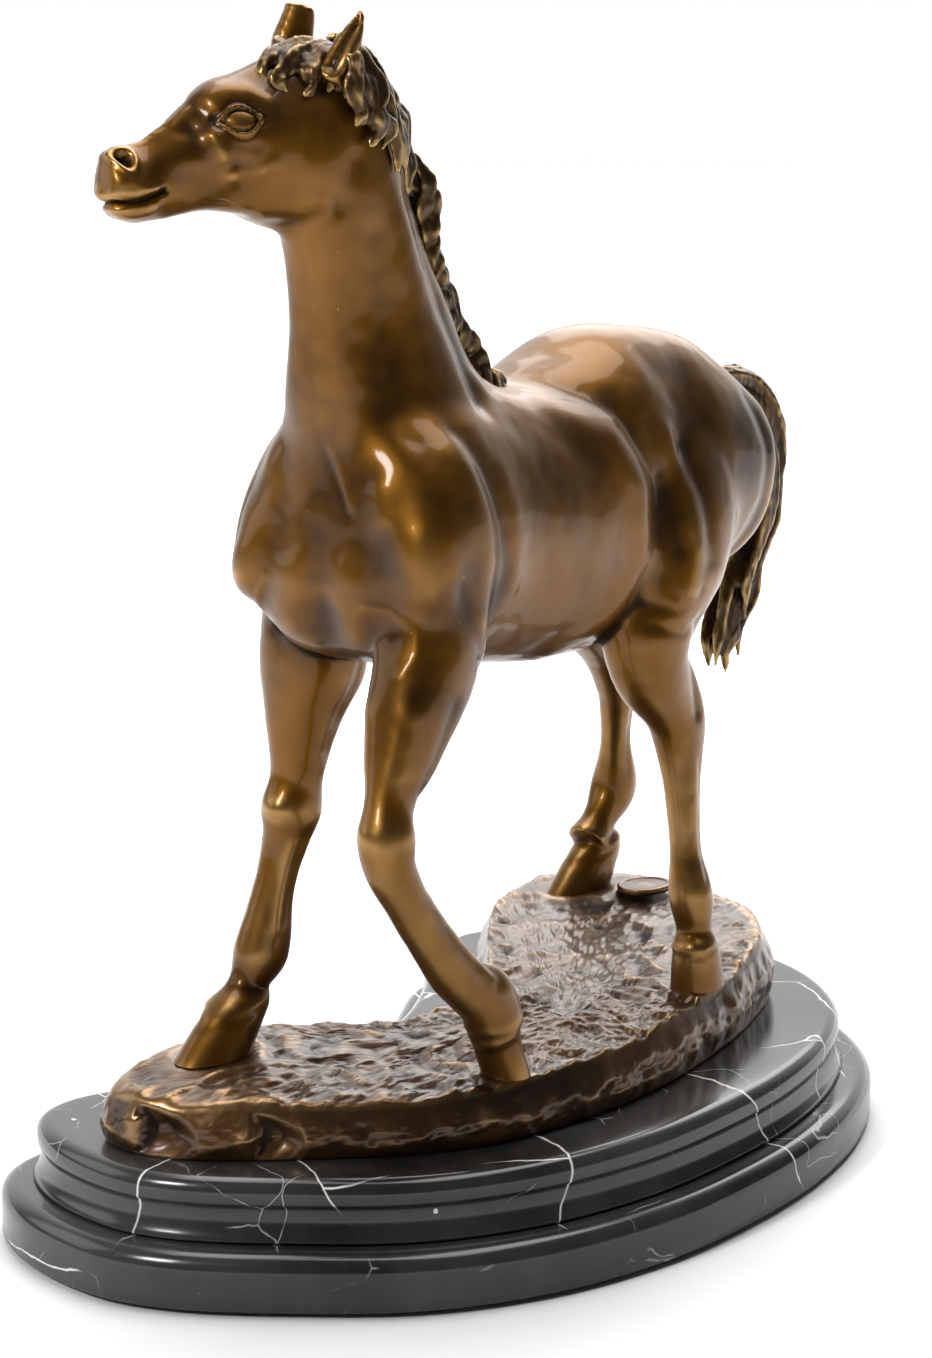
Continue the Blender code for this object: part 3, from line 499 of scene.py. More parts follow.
bodyStrokes = (
    # shoulder blade, upper arm, and the fold behind them
    ("side", 5.5, -1.3, ((82, 268), (76, 254), (71, 238), (70, 225), (72, 208))),
    ("side", 8.0, 1.3, ((88, 262), (83, 245), (81, 228), (83, 212))),
    ("side", 4.5, 0.5, ((64, 255), (61, 236), (60, 218))),
    ("side", 8.0, 1.2, ((72, 199),)),
    ("left", 2.6, -0.5, ((94, 222), (88, 208), (80, 194))),
    # rib cage edge and the hollow behind it
    ("side", 7.0, 1.5, ((50, 279), (22, 271), (-2, 257), (-12, 238), (-15, 217), (-6, 199), (12, 188))),
    ("side", 6.0, -1.9, ((38, 289), (12, 282), (-13, 268), (-25, 244), (-28, 219), (-20, 200))),
    ("side", 12.0, 0.8, ((40, 235), (15, 225))),
    # flank folds
    ("side", 3.6, -0.7, ((-26, 262), (-31, 242), (-33, 222), (-31, 204))),
    ("side", 4.2, 0.9, ((-37, 256), (-39, 238), (-39, 218), (-36, 204))),
    ("side", 4.6, -0.9, ((-46, 252), (-49, 234), (-48, 214))),
    ("side", 14.0, 1.2, ((-70, 258), (-74, 232), (-66, 208))),
    ("side", 9.0, 1.0, ((-34, 272),)),
    ("top", 10.0, -1.0, ((60, 0), (30, 0), (10, 0))),
    ("top", 7.0, -0.9, ((-60, 0), (-90, 0), (-112, 0))),
    ("top", 11.0, 1.0, ((-52, 20), (-78, 18))),
    ("top", 11.0, 1.0, ((-52, -20), (-78, -18))),
    # seat muscle at the back of the thigh
    ("side", 4.0, -1.0, ((-98, 264), (-104, 246), (-103, 226), (-92, 204))),
    ("side", 6.0, 1.0, ((-110, 258), (-114, 242), (-112, 226), (-102, 206))),
    ("rear", 5.0, -3.0, ((0, 236), (0, 214), (0, 200))),
    ("rear", 9.0, 1.2, ((20, 236), (22, 214))),
    ("rear", 9.0, 1.2, ((-20, 236), (-22, 214))),
    # breast
    ("front", 1.6, -0.3, ((1, 263), (5, 255), (9, 248), (11, 243))),
    ("front", 1.6, 0.4, ((3, 264), (7, 256), (11.5, 247))),
    ("front", 5.0, 1.2, ((23, 252), (24, 244))),
    ("front", 10.0, -0.8, ((0, 250), (1, 238), (0, 226))),
    ("front", 10.0, 1.4, ((31, 250), (33, 240))),
    ("front", 9.0, 1.4, ((-32, 230), (-33, 216))),
    ("front", 12.0, -3.2, ((-40, 262), (-40, 248), (-42, 236))),
    ("front", 7.0, -1.2, ((-18, 262), (-18, 246), (-19, 232))),
    ("front", 10.0, 1.8, ((13, 221), (16, 210))),
    ("front", 10.0, 1.8, ((-13, 221), (-16, 210))),
    ("front", 7.0, -1.2, ((0, 212), (0, 200))),
    ("front", 1.6, 0.35, ((17, 216), (27, 215), (35, 210), (37, 203), (33, 196))),
    ("front", 4.5, -0.9, ((18, 208), (27, 206))),
    ("front", 1.4, 0.5, ((-24, 222), (-30, 212), (-26, 203), (-16, 198))),
    ("front", 4.5, -0.9, ((-31, 204), (-36, 214))),
    # neck
    ("side", 8.0, 0.9, ((110, 322), (109, 300), (108, 280), (108, 262))),
    ("side", 5.0, -0.7, ((99, 328), (97, 306), (95, 286), (98, 268))),
    ("side", 8.0, 0.6, ((88, 330), (84, 308), (82, 288))),
    ("side", 4.4, -1.3, ((79, 340), (70, 316), (61, 292), (59, 276))),
    # left fore leg
    ("leftLeg", 2.4, -0.6, ((78, 97), (88, 110), (99, 124), (107, 136))),
    ("leftLeg", 1.8, 0.5, ((82, 96), (94, 112), (105, 128))),
    ("leftLeg", 3.0, -0.7, ((108, 160), (103, 172), (97, 186))),
    ("leftLeg", 5.0, 0.8, ((118, 168), (114, 184))),
    ("any", 4.0, 1.1, ((124, 31, 148),)),
    ("any", 3.5, -0.7, ((121, 33, 139),)),
    ("any", 3.0, 1.2, ((110, 34, 149), (108, 34, 145))),
    ("any", 3.2, 1.2, ((73, 39, 96),)),
    # right fore leg
    ("rightLeg", 2.2, -0.6, ((92, 104), (89, 118), (86, 132))),
    ("rightLeg", 1.8, 0.5, ((96, 102), (94, 116), (91, 130))),
    ("rightLeg", 3.0, -0.7, ((80, 160), (77, 174), (72, 188))),
    ("any", 4.0, 1.0, ((95, -33, 142),)),
    ("any", 3.4, 1.4, ((78, -33, 143), (77, -33, 138))),
    ("any", 3.4, 1.6, ((91, -38, 92),)),
    # hind legs
    ("leftLeg", 2.2, -0.6, ((-45, 102), (-46, 122), (-49, 142))),
    ("leftLeg", 3.0, -0.8, ((-48, 160), (-46, 176), (-44, 190))),
    ("any", 3.6, 1.6, ((-57, 36, 164), (-56, 36, 158))),
    ("any", 3.2, 1.2, ((-49, 44, 95),)),
    ("left", 2.0, -0.5, ((-20, 194), (-34, 190), (-46, 194))),
    ("left", 2.0, -0.4, ((-18, 202), (-30, 198), (-42, 203))),
    ("rightLeg", 2.2, -0.6, ((-132, 112), (-130, 128), (-128, 142))),
    ("any", 3.6, 1.6, ((-134, -38, 153), (-132, -38, 148))),
    ("any", 3.4, 1.4, ((-139, -47, 105),)),
)

# in the head's own directions: ahead of the poll, to the left, up
headStrokes = (
    ("side", 3.2, 1.3, ((31, 368.5), (36, 371), (42, 371), (46.5, 368.5))),
    ("side", 3.4, -0.45, ((51, 370), (50, 366), (48, 362.5))),
    ("side", 2.6, 1.0, ((54, 367), (56.5, 363.5))),
    ("side", 3.0, 0.4, ((58, 357.5),)),
    ("side", 2.2, 0.9, ((48, 358.5), (46.5, 354.5), (45.5, 352))),
    ("side", 3.2, -0.45, ((52.5, 360), (51.5, 353.5))),
    ("side", 2.4, -0.5, ((41, 355.5), (37, 355))),
    ("side", 3.0, 1.2, ((43, 346.5),)),
    ("side", 2.4, -0.5, ((43, 350.8), (38, 350.4))),
    ("side", 2.4, 0.5, ((31, 350), (34, 348.5))),
    ("side", 14.0, 1.2, ((17, 351),)),
    ("side", 6.0, -0.9, ((64, 349), (54, 343.5), (44, 339.5))),
    ("side", 3.0, -0.6, ((68, 355.5), (60, 358.5), (54, 361))),
    ("side", 3.6, 0.8, ((36, 336.5), (24, 335), (15, 338))),
    ("side", 4.0, -1.2, ((26, 331), (18, 333), (11, 337))),
    ("side", 5.0, -0.8, ((8, 341), (4, 350))),
    ("side", 5.0, -0.5, ((26, 372), (23, 366), (22, 358))),
    ("top", 5.0, 0.6, ((46, 0), (60, 0))),
    ("top", 5.0, -0.4, ((36, 0), (30, 0))),
    # muzzle
    ("side", 2.8, 0.7, ((75, 345), (70, 344.6))),
    ("side", 0.9, -1.8, ((82, 339.6), (76, 338.8), (70, 339.6), (65, 341.2), (62, 342.4))),
    ("side", 1.6, 0.6, ((79, 342), (72, 341.8), (65, 343.8))),
    ("side", 1.8, 0.8, ((77.5, 335.6), (71.5, 335.6), (65.5, 337.4))),
    ("side", 2.4, -0.6, ((60, 336.8), (56, 337))),
    ("front", 2.2, 1.4, ((0, 342),)),
    ("front", 0.9, -1.5, ((-7, 338.8), (7, 338.8))),
)


# Eyes and nostrils: almond and oval shapes pressed into both sides of the head
face = {
    "lowest": 326.0,
    "eye": (40.0, 363.0), "eyeHalf": (5.3, 3.3), "eyeTilt": math.radians(-4),
    # middle of the nostril, the way it faces, its half sizes and tilt
    "nostril": (75.0, 6.6, 351.8), "nostrilFaces": (0.50, 0.86, 0.05), "nostrilHalf": (3.5, 1.9),
    "nostrilTilt": math.radians(-36),
}


def faceRelief(local, turned):
    mirror = np.where(local[:, 1] < 0, -1.0, 1.0)
    facing = np.clip(turned[:, 1] * mirror * 2.2, 0, 1)
    a, b = local[:, 0] - face["eye"][0], local[:, 2] - face["eye"][1]
    c, s = math.cos(face["eyeTilt"]), math.sin(face["eyeTilt"])
    u, v = (a * c + b * s) / face["eyeHalf"][0], (b * c - a * s) / face["eyeHalf"][1]
    inside = (np.abs(v) - (1 - u**2)) * face["eyeHalf"][1]
    corner = np.hypot((np.abs(u) - 1) * face["eyeHalf"][0], v * face["eyeHalf"][1])
    edge = np.where(np.abs(u) < 1, inside, corner)
    ball = np.clip(1 - u**2 * 1.15 - v**2, 0, 1)
    push = 0.75 * np.exp(-(((edge - 0.7) / 0.6) ** 2)) - 0.85 * np.exp(-(((edge + 0.15) / 0.42) ** 2))
    push += np.where(edge < 0, 1.3 * np.sqrt(ball) - 0.6, 0)
    push -= np.where(v > 0, 0.5, 0.25) * np.exp(-(((edge - 2.1) / 0.6) ** 2))
    push -= 0.7 * np.exp(-(((np.abs(u - 1.12) * 6) ** 2 + (v * 2) ** 2)))
    push = push * facing
    # nostril, in the plane that it faces
    n = np.array(face["nostrilFaces"]) / np.linalg.norm(face["nostrilFaces"])
    own = np.column_stack([local[:, 0], local[:, 1] * mirror, local[:, 2]]) - face["nostril"]
    normal = np.column_stack([turned[:, 0], turned[:, 1] * mirror, turned[:, 2]])
    across = np.cross((0, 0, 1.0), n)
    across /= np.linalg.norm(across)
    up = np.cross(n, across)
    c, s = math.cos(face["nostrilTilt"]), math.sin(face["nostrilTilt"])
    a, b = own @ across, own @ up
    u, v = (a * c + b * s) / face["nostrilHalf"][0], (b * c - a * s) / face["nostrilHalf"][1]
    v = v - 0.4 * (1 - u**2)
    far = np.hypot(u, v)
    opening = 0.6 * np.exp(-(((far - 1.35) / 0.42) ** 2)) - 3.2 * np.exp(-((far / 0.8) ** 4))
    return push + opening * np.clip((normal @ n) * 1.6, 0, 1) * (np.linalg.norm(own, axis=1) < 9)


def growHorse():
    up, back = (0, 0, 1), (-1, 0, 0)
    mirrored = tuple((x, -side, *rest) for x, side, *rest in horse["leftShoulder"])
    forms = [
        loftForm(horse["torso"], inBody, back), loftForm(horse["leftShoulder"], inBody, up),
        loftForm(mirrored, inBody, up), loftForm(horse["neck"], inBody, up),
    ]
    forms.append(loftForm(horse["head"], inHead, None, headYaw, roof=0.42))
    forms += [loftForm(horse[k], inHead, None, headYaw) for k in ("leftEar", "rightEar")]
    forms += [loftForm(horse[k], inBody) for k in ("foreLeft", "foreRight", "hindLeft", "hindRight")]
    for x, y, z, toe, heel, w, lean, top, tall in horse["hooves"]:
        rings = ((x + lean * 0.3, y, z - 6, w * 1.05, toe * 1.04, heel), (x, y, z, w, toe, heel),
                 (x - lean * 0.55, y, z + tall * 0.53, w * 0.93, toe * (0.6 + 0.4 * top), heel * 0.95),
                 (x - lean, y, z + tall, w * (0.84 + 0.4 * max(0.0, top - 1)), toe * top, heel * 0.9),
                 (x - lean * 1.15, y, z + tall + 3.5, w * 0.62, toe * top * 0.7, heel * 0.7))
        forms.append(loftForm(rings, lambda *p: p, up))
    skin = fused(forms, horse["voxel"], horse["relax"])
    # the welded masses flow into each other on the trunk, less so on the legs and head
    points = vertexArray(skin)
    local = bodyFrame(points, points)[0]
    pairs = edgeArray(skin)
    (low, fadeIn), (high, fadeOut) = horse["trunkFrom"], horse["trunkTo"]
    trunk = np.clip((points[:, 2] - low) / fadeIn, 0, 1) * np.clip((high - points[:, 2]) / fadeOut, 0, 1)
    soft = blurred(points, pairs, horse["flow"])
    points = points + trunk[:, None] * (soft - points)
    (middle, reach), (start, ramp) = horse["neckRootHeight"], horse["neckRootAhead"]
    neckRoot = np.exp(-(((local[:, 2] - middle) / reach) ** 2)) * np.clip((local[:, 0] - start) / ramp, 0, 1)
    softer = blurred(points, pairs, horse["flow"])
    moved(skin, points + neckRoot[:, None] * (softer - points))
    points, normals = surfaceOf(skin)
    points = stroked(points, normals, *bodyFrame(points, normals), bodyStrokes)
    moved(skin, points)
    # coronet: a soft ridge and a narrow groove where hair meets horn
    normals = vertexArray(skin, "normal")
    for x, y, z, toe, heel, w, lean, top, tall in horse["hooves"]:
        near = np.hypot(points[:, 0] - x + lean * 0.8, points[:, 1] - y) < toe + 9
        rise = points[:, 2] - z - tall + 0.5 + 0.18 * (points[:, 0] - x + lean)
        push = 0.2 * np.exp(-(((rise - 2.0) / 1.8) ** 2)) - 0.25 * np.exp(-(((rise + 0.8) / 1.2) ** 2))
        points = points + (near * push)[:, None] * normals
    moved(skin, points)
    # slow hand-modelled unevenness
    normals = vertexArray(skin, "normal")
    lump = np.array([noise.noise(Vector(p) * 0.055) + 0.35 * noise.noise(Vector(p) * 0.16)
                     for p in points])
    moved(skin, points + (horse["lumpDepth"] * lump)[:, None] * normals)
    keepRelief(skin, 22, 1.5)
    skin.attributes.new("skinNormal", "FLOAT_VECTOR", "POINT").data.foreach_set(
        "vector", vertexArray(skin, "normal").ravel().astype(np.float32))
    return skin


# low and high corner of each casting's share, mm; the torso is what is left
castings = {
    "left_fore_leg": ((42, 14, 59.4), (140, 80, 184)),
    "right_fore_leg": ((42, -75, 62.4), (150, 13, 184)),
    "left_hind_leg": ((-76, 11, 63.0), (-8, 85, 176)),
    "right_hind_leg": ((-160, -85, 68.6), (-70, -13, 176)),
    "neck_and_head_casting": ((22, -70, 288), (220, 100, 420)),
}


def cutAt(shape, low, high, height):
    part = [f for f in shape.faces
            if all(low[k] * mm < f.calc_center_median()[k] < high[k] * mm for k in (0, 1))]
    edges = {e for f in part for e in f.edges}
    verts = {v for f in part for v in f.verts}
    bmesh.ops.bisect_plane(shape, geom=[*verts, *edges, *part], dist=1e-7,
                           plane_co=(0, 0, height * mm), plane_no=(0, 0, 1))


def divideSkin(skin):
    shape = bmesh.new()
    shape.from_mesh(skin)
    for name, (low, high) in castings.items():
        if "leg" in name:
            cutAt(shape, low, high, high[2])
            cutAt(shape, low, high, low[2])
        else:
            cutAt(shape, low, high, low[2])
    owners = {"torso_casting": []}
    for polygon in shape.faces:
        c = polygon.calc_center_median() / mm
        owner = "torso_casting"
        for name, (low, high) in castings.items():
            if low[0] < c[0] < high[0] and low[1] < c[1] < high[1] and c[2] < high[2]:
                if "leg" in name or c[2] > low[2]:
                    owner = name if c[2] > low[2] else None
        if owner:
            owners.setdefault(owner, []).append(polygon.index)
    shape.faces.ensure_lookup_table()
    pieces = {}
    for name, wanted in owners.items():
        part = shape.copy()
        part.faces.ensure_lookup_table()
        keep = set(wanted)
        bmesh.ops.delete(part, geom=[f for f in part.faces if f.index not in keep], context="FACES")
        mesh = bpy.data.meshes.new(name)
        part.to_mesh(mesh)
        part.free()
        pieces[name] = mesh
    shape.free()
    return pieces


def sculptHead(mesh):
    mesh = through(mesh, ("SUBSURF", {"levels": 1}))
    points, normals = surfaceOf(mesh)
    local, turned = headFrame(points, normals)
    inReach = local[:, 2] > face["lowest"]
    sculpted = stroked(points, normals, local, turned, headStrokes)
    moved(mesh, np.where(inReach[:, None], sculpted, points))
    # ears: the inside of each is hollowed towards the front
    points, normals = surfaceOf(mesh)
    local, turned = headFrame(points, normals)
    for knots, towards in ((((9.5, 13.5, 379), (6, 14, 386), (1.5, 14, 392)), (0.8, 0.6, 0)),
                           (((14, -12, 382), (11, -12, 389), (9, -12, 394)), (0.75, -0.65, 0))):
        facing = np.clip(turned @ np.array(towards) * 1.4, 0, 1)
        gap = lineDistance(local, knots)
        push = -3.0 * np.exp(-((gap / 2.3) ** 2)) + 0.5 * np.exp(-(((gap - 4.2) / 1.0) ** 2))
        points = points + (push * facing)[:, None] * normals
    moved(mesh, points)
    mesh = through(mesh, ("SMOOTH", {"factor": 0.5, "iterations": 1}))
    points, normals = surfaceOf(mesh)
    local, turned = headFrame(points, normals)
    moved(mesh, points + faceRelief(local, turned)[:, None] * normals)
    keepRelief(mesh, 40, 1.3)
    return mesh


# Closes the weld openings and keeps the whole skin's normals along them, so that no seam shows
def closed(mesh):
    normals = vertexArray(mesh, "normal")
    pairs = edgeArray(mesh)
    shape = bmesh.new()
    shape.from_mesh(mesh)
    shape.verts.ensure_lookup_table()
    kept = np.empty(len(mesh.vertices) * 3)
    mesh.attributes["skinNormal"].data.foreach_get("vector", kept)
    kept = kept.reshape(-1, 3)
    rim = [v.index for v in shape.verts if v.is_boundary]
    normals[rim] = kept[rim]
    bmesh.ops.holes_fill(shape, edges=[e for e in shape.edges if e.is_boundary], sides=0)
    shape.to_mesh(mesh)
    shape.free()
    mesh.shade_smooth()
    mesh.attributes.remove(mesh.attributes["skinNormal"])
    normals /= np.maximum(np.linalg.norm(normals, axis=1), 1e-9)[:, None]
    mesh.normals_split_custom_set_from_vertices(normals.tolist())


skinPieces = divideSkin(growHorse())
print("horse skin grown and divided")
for pieceName, pieceMesh in skinPieces.items():
    if "head" in pieceName:
        pieceMesh = sculptHead(pieceMesh)
    label = pieceName.replace("_casting", "").title().replace("_", "")
    shown("sculpted" + label, pieceMesh, hideBronze, "horse_bronze", pieceName)
    closed(pieceMesh)
    print(pieceName, len(pieceMesh.polygons), "faces")


# Hair: each lock is a tapered, ridged sweep

# knots (x, side, z) in mm, widest half-width, thickness share; ridges run along the lock
def lock(knots, width, where=inBody, flat=0.6, ridges=3, seed=0.0, steps=26, count=20, root=0.6):
    path = smoothPath([where(*k) for k in knots], steps)
    tangent = np.gradient(path, axis=0)
    tangent /= np.linalg.norm(tangent, axis=1)[:, None]
    outward = path - np.array(where(*np.array(knots[0]) * (1, 0, 1)))
    reference = np.array([0.25, 0.9, 0.1]) + 0.004 * outward
    across = np.cross(tangent, reference)
    across /= np.linalg.norm(across, axis=1)[:, None]
    depth = np.cross(across, tangent)
    share = np.linspace(0, 1, steps)
    size = width * (root + (1 - root) * np.sin(np.pi * np.clip(share * 1.15, 0, 1)))
    size *= np.clip((1 - share) * 7.0, 0.2, 1) ** 0.6 * (1 + 0.14 * np.sin(17 * share + 2 * seed))
    turn = 2 * np.pi * np.arange(count) / count
    points = []
    for k in range(steps):
        wave = 1 + 0.16 * np.sin(ridges * turn + seed + 2.2 * share[k]) + 0.05 * np.sin(9 * share[k] + seed)
        points.append(path[k] + size[k] * (np.cos(turn) * wave)[:, None] * across[k]
                      + size[k] * flat * (np.sin(turn) * wave)[:, None] * depth[k])
    return np.vstack(points), tubeFaces(steps, count)


mane = {
    "voxel": 0.62,
    # thick curled locks behind the left ear: knots (x, side, z), half-width
    "pollLocks": (
        (((106, 10, 384), (108, 14.5, 378), (111, 16, 371), (108, 16.5, 365), (111, 16, 361)), 3.4),
        (((106, 9, 385), (106, 15, 374), (102, 16.5, 366), (101, 17, 360), (105, 17, 355)), 3.7),
        (((106, 6, 387), (104, 13, 381), (100, 15.5, 372), (102, 16.5, 366), (95, 17, 360), (99, 17, 354)), 3.7),
        (((104, 4, 388), (102, 10, 383), (97, 13.5, 375), (95, 15, 368), (93, 15.5, 361), (90, 16, 354),
          (89, 15.5, 347)), 3.6),
        (((98, 1, 388), (93, 6, 381), (90, 9, 373), (86, 11, 364), (83, 12, 355), (80, 12, 346)), 3.6),
        (((98, -3, 388), (93, -8, 382), (91, -13, 373), (93, -16, 362), (89, -15, 352)), 3.6),
        (((94, -3, 385), (88, -9, 377), (86, -13, 366), (88, -15, 354), (84, -14, 343)), 3.6),
    ),
    # the crest falls to the right in overlapping locks: top (x, z) of each
    "crest": ((80, 368), (75, 360), (71, 352), (62, 343), (59, 335), (58, 327), (56, 319), (53, 311),
              (48, 303), (42, 296), (36, 289), (32, 282), (27, 277)),
    "forelock": (
        (((4, 2, 384), (12, 4, 383), (19, 6.5, 379.5), (25, 9, 375), (23, 11, 371)), 3.4),
        (((3, 4, 384), (9, 7, 382), (14, 9.5, 378), (15, 12, 373), (19, 13, 370)), 3.4),
        (((2, 6, 384), (6, 9, 381), (8, 12, 376), (11, 13.5, 371)), 3.4),
        (((1, 8, 383), (3, 11, 379), (3, 13.5, 374), (6, 15, 369)), 3.2),
        (((5, 0, 384.5), (13, 0, 384.5), (21, 2, 382), (28, 5, 378), (29, 7, 374)), 3.3),
        (((5, -3, 384), (13, -4, 384), (20, -4, 382), (27, -4, 378)), 3.2),
        (((8, -6, 383), (14, -8, 382), (20, -8.5, 378), (23, -9, 373)), 3.2),
        (((9, -13, 381), (13, -11, 384), (17, -5, 385), (20, 0, 384), (22, 4, 381)), 2.8),
    ),
}


def buildMane():
    forms = [lock(k, w, ridges=4, seed=1.7 * i, flat=0.72)
             for i, (k, w) in enumerate(mane["pollLocks"])]
    for i, (x, z) in enumerate(mane["crest"]):
        swing = 2.0 * math.sin(2.4 * i)
        left = ((x + 7, 2, z + 9), (x + 2, 4, z + 5), (x - 1, 4.5 + swing * 0.4, z - 1),
                (x + 1 + swing * 0.5, 5, z - 8), (x - 2, 4, z - 14))
        right = ((x + 6, 0, z + 8), (x + 1, -3, z + 4), (x - 2, -8, z - 4), (x + swing, -12, z - 13),
                 (x - 2, -14, z - 22), (x, -15, z - 29))
        forms.append(lock(left, 3.8 + 0.8 * math.sin(1.9 * i), ridges=4, seed=i, flat=0.8))
        forms.append(lock(right, 4.2, ridges=4, seed=0.6 * i, flat=0.65))
    for i, (x, side, z, fall) in enumerate(((28, 4, 283, 13), (24, 5, 280, 16), (20, 3, 279, 12),
                                            (31, 6, 286, 17), (16, 2, 279, 8))):
        knots = ((x + 4, side - 4, z + 3), (x, side, z), (x + 1, side + 4, z - fall * 0.5),
                 (x - 1, side + 6.5, z - fall))
        forms.append(lock(knots, 1.9, ridges=3, seed=i, flat=0.6))
    forms += [lock(k, w, inHead, ridges=3, seed=2.1 * i, flat=0.75)
              for i, (k, w) in enumerate(mane["forelock"])]
    mesh = fused(forms, mane["voxel"], 1)
    hairRelief(mesh)
    return mesh


# fine combed lines over the locks
def hairRelief(mesh):
    points, normals = surfaceOf(mesh)
    lines = np.array([noise.noise(Vector((p[0] * 0.55, p[1] * 0.55, p[2] * 0.16))) for p in points])
    moved(mesh, points + (0.42 * lines)[:, None] * normals)
    keepRelief(mesh, 10, 1.1)


tail = {
    "voxel": 0.75,
    "sections": (
        (-108, 0, 256, 7, 9, 8), (-126, 0, 261, 7.4, 8, 8), (-144, 1, 259, 8, 7.4, 9),
        (-156, 2, 251, 8.6, 6.6, 9), (-162, 2, 238, 8.6, 6, 9), (-162, 3, 224, 8.4, 6, 8.6),
        (-158, 3, 209, 8, 5.6, 7.6), (-150, 3, 195, 7, 5, 7), (-141, 2, 181, 5.6, 4.4, 6),
        (-134, 2, 168, 4, 3.4, 5)),
    # strands laid on the dock: knots (x, side, z), half-width
    "strands": (
        (((-112, 4, 262), (-130, 5, 268), (-148, 7, 264), (-160, 9, 250), (-165, 9, 235), (-161, 8, 220),
          (-163, 8, 206)), 4.0),
        (((-112, -3, 262), (-132, -3, 268), (-150, -4, 262), (-163, -5, 247), (-168, -4, 230),
          (-165, -3, 214), (-167, -3, 203)), 4.0),
        (((-118, 0, 264), (-138, 1, 268), (-154, 2, 260), (-166, 3, 245), (-170, 3, 228), (-166, 3, 212),
          (-163, 3, 200)), 4.2),
        (((-128, 7, 258), (-146, 9, 250), (-154, 11, 236), (-152, 11, 220), (-147, 10, 204),
          (-140, 9, 190), (-141, 8, 176)), 3.8),
        (((-128, -6, 258), (-146, -7, 250), (-154, -8, 236), (-152, -7, 220), (-147, -6, 204),
          (-140, -5, 190), (-138, -5, 174)), 3.8),
        (((-150, 8, 240), (-158, 10, 226), (-158, 9, 212), (-150, 8, 198), (-148, 7, 184), (-141, 6, 172),
          (-142, 5, 161)), 3.6),
        (((-156, 0, 236), (-164, 0, 220), (-161, 1, 206), (-154, 1, 192), (-149, 1, 180), (-142, 1, 170),
          (-137, 1, 158)), 3.8),
        (((-146, 4, 222), (-144, 5, 206), (-138, 4, 194), (-133, 4, 182), (-131, 3, 170), (-128, 3, 159)), 3.6),
        (((-150, -3, 214), (-147, -3, 200), (-140, -3, 188), (-134, -3, 176), (-131, -2, 164),
          (-132, -2, 157)), 3.4),
        (((-150, 6, 196), (-143, 6, 184), (-139, 5, 172), (-134, 4, 164), (-136, 3, 155)), 3.0),
    ),
}


def buildTail():
    forms = [lock(k, w, ridges=4, seed=0.9 * i, flat=0.7, steps=40)
             for i, (k, w) in enumerate(tail["strands"])]
    forms.append(loftForm(tail["sections"], inBody))
    mesh = fused(forms, tail["voxel"], 1)
    hairRelief(mesh)
    return mesh


shown("carvedMane", buildMane(), hairBronze, "hair_bronze", "mane_casting")
shown("carvedTail", buildTail(), hairBronze, "hair_bronze", "tail_casting")
print("mane, forelock and tail made")


# Ground and base

base = {
    "slabOutline": (
        (181, -22), (175, 6), (157, 36), (128, 71), (90, 95), (45, 108), (0, 111), (-45, 108), (-90, 97),
        (-130, 77), (-160, 45), (-176, 5), (-176, -40), (-160, -78), (-128, -108), (-98, -113),
        (-68, -99), (-35, -77), (0, -60), (35, -55), (70, -64), (102, -84), (130, -93), (155, -86),
        (174, -58)),
    "groundOutline": (
        (157, -26), (151, -6), (138, 12), (112, 40), (84, 60), (50, 70), (10, 73), (-35, 68), (-80, 57),
        (-116, 42), (-138, 18), (-147, -15), (-143, -46), (-122, -68), (-96, -68), (-68, -57),
        (-38, -36), (-8, -14), (20, -5), (46, -10), (72, -27), (100, -42), (130, -46), (151, -42)),
    # where two faces are broken off the front wall: x, y, reach
    "brokenFaces": ((149.0, -9.0, 15.0), (128.5, 22.0, 15.0)),
    "groundHeart": (10, 38), "groundFoot": 40.3, "wallRows": 26, "wallDepth": 1.5,
    "slabSides": 420,
    "groundSides": 760,
    "upperInset": 12.5,
    "medallionSpot": (-121, -19),
}


def closedCurve(knots, count):
    knots = np.array(knots, float)
    before, after = np.roll(knots, 1, axis=0), np.roll(knots, -1, axis=0)
    slope = (after - before) / 2
    dense = []
    for i in range(len(knots)):
        a, b = knots[i], knots[(i + 1) % len(knots)]
        ta, tb = slope[i], slope[(i + 1) % len(knots)]
        for t in np.linspace(0, 1, 24, endpoint=False):
            h = (2 * t**3 - 3 * t**2 + 1, t**3 - 2 * t**2 + t, 3 * t**2 - 2 * t**3, t**3 - t**2)
            dense.append(h[0] * a + h[1] * ta + h[2] * b + h[3] * tb)
    loop = np.vstack([dense, dense[:1]])
    along = np.concatenate([[0], np.cumsum(np.linalg.norm(np.diff(loop, axis=0), axis=1))])
    wanted = np.linspace(0, along[-1], count, endpoint=False)
    return np.stack([np.interp(wanted, along, loop[:, k]) for k in (0, 1)], axis=1)


def outwardOf(points):
    tangent = np.roll(points, -1, axis=0) - np.roll(points, 1, axis=0)
    tangent /= np.linalg.norm(tangent, axis=1)[:, None]
    return np.stack([tangent[:, 1], -tangent[:, 0]], axis=1)


# Rings closed into one form, the last one flat or drawn up to a point
def ringed(rings, point=None):
    count, points = len(rings[0]), np.vstack(rings)
    faces = tubeFaces(len(rings), count, openEnd=point is not None)
    if point is not None:
        last, tip = len(points) - count, len(points)
        faces += [(last + i, last + (i + 1) % count, tip) for i in range(count)]
        points = np.vstack([points, point])
    return points, faces


def groundHeight(x, y):
    level = 62.0 - 0.035 * x - 0.03 * (y - 15.0)
    level = level + 2.8 * np.exp(-((x - 115) ** 2 + (y + 25) ** 2) / 1600)
    level = level + 1.6 * np.exp(-((x - 85) ** 2 + (y + 30) ** 2) / 900)
    return level + 0.7 * np.sin(x / 9.0) * np.cos(y / 7.0)


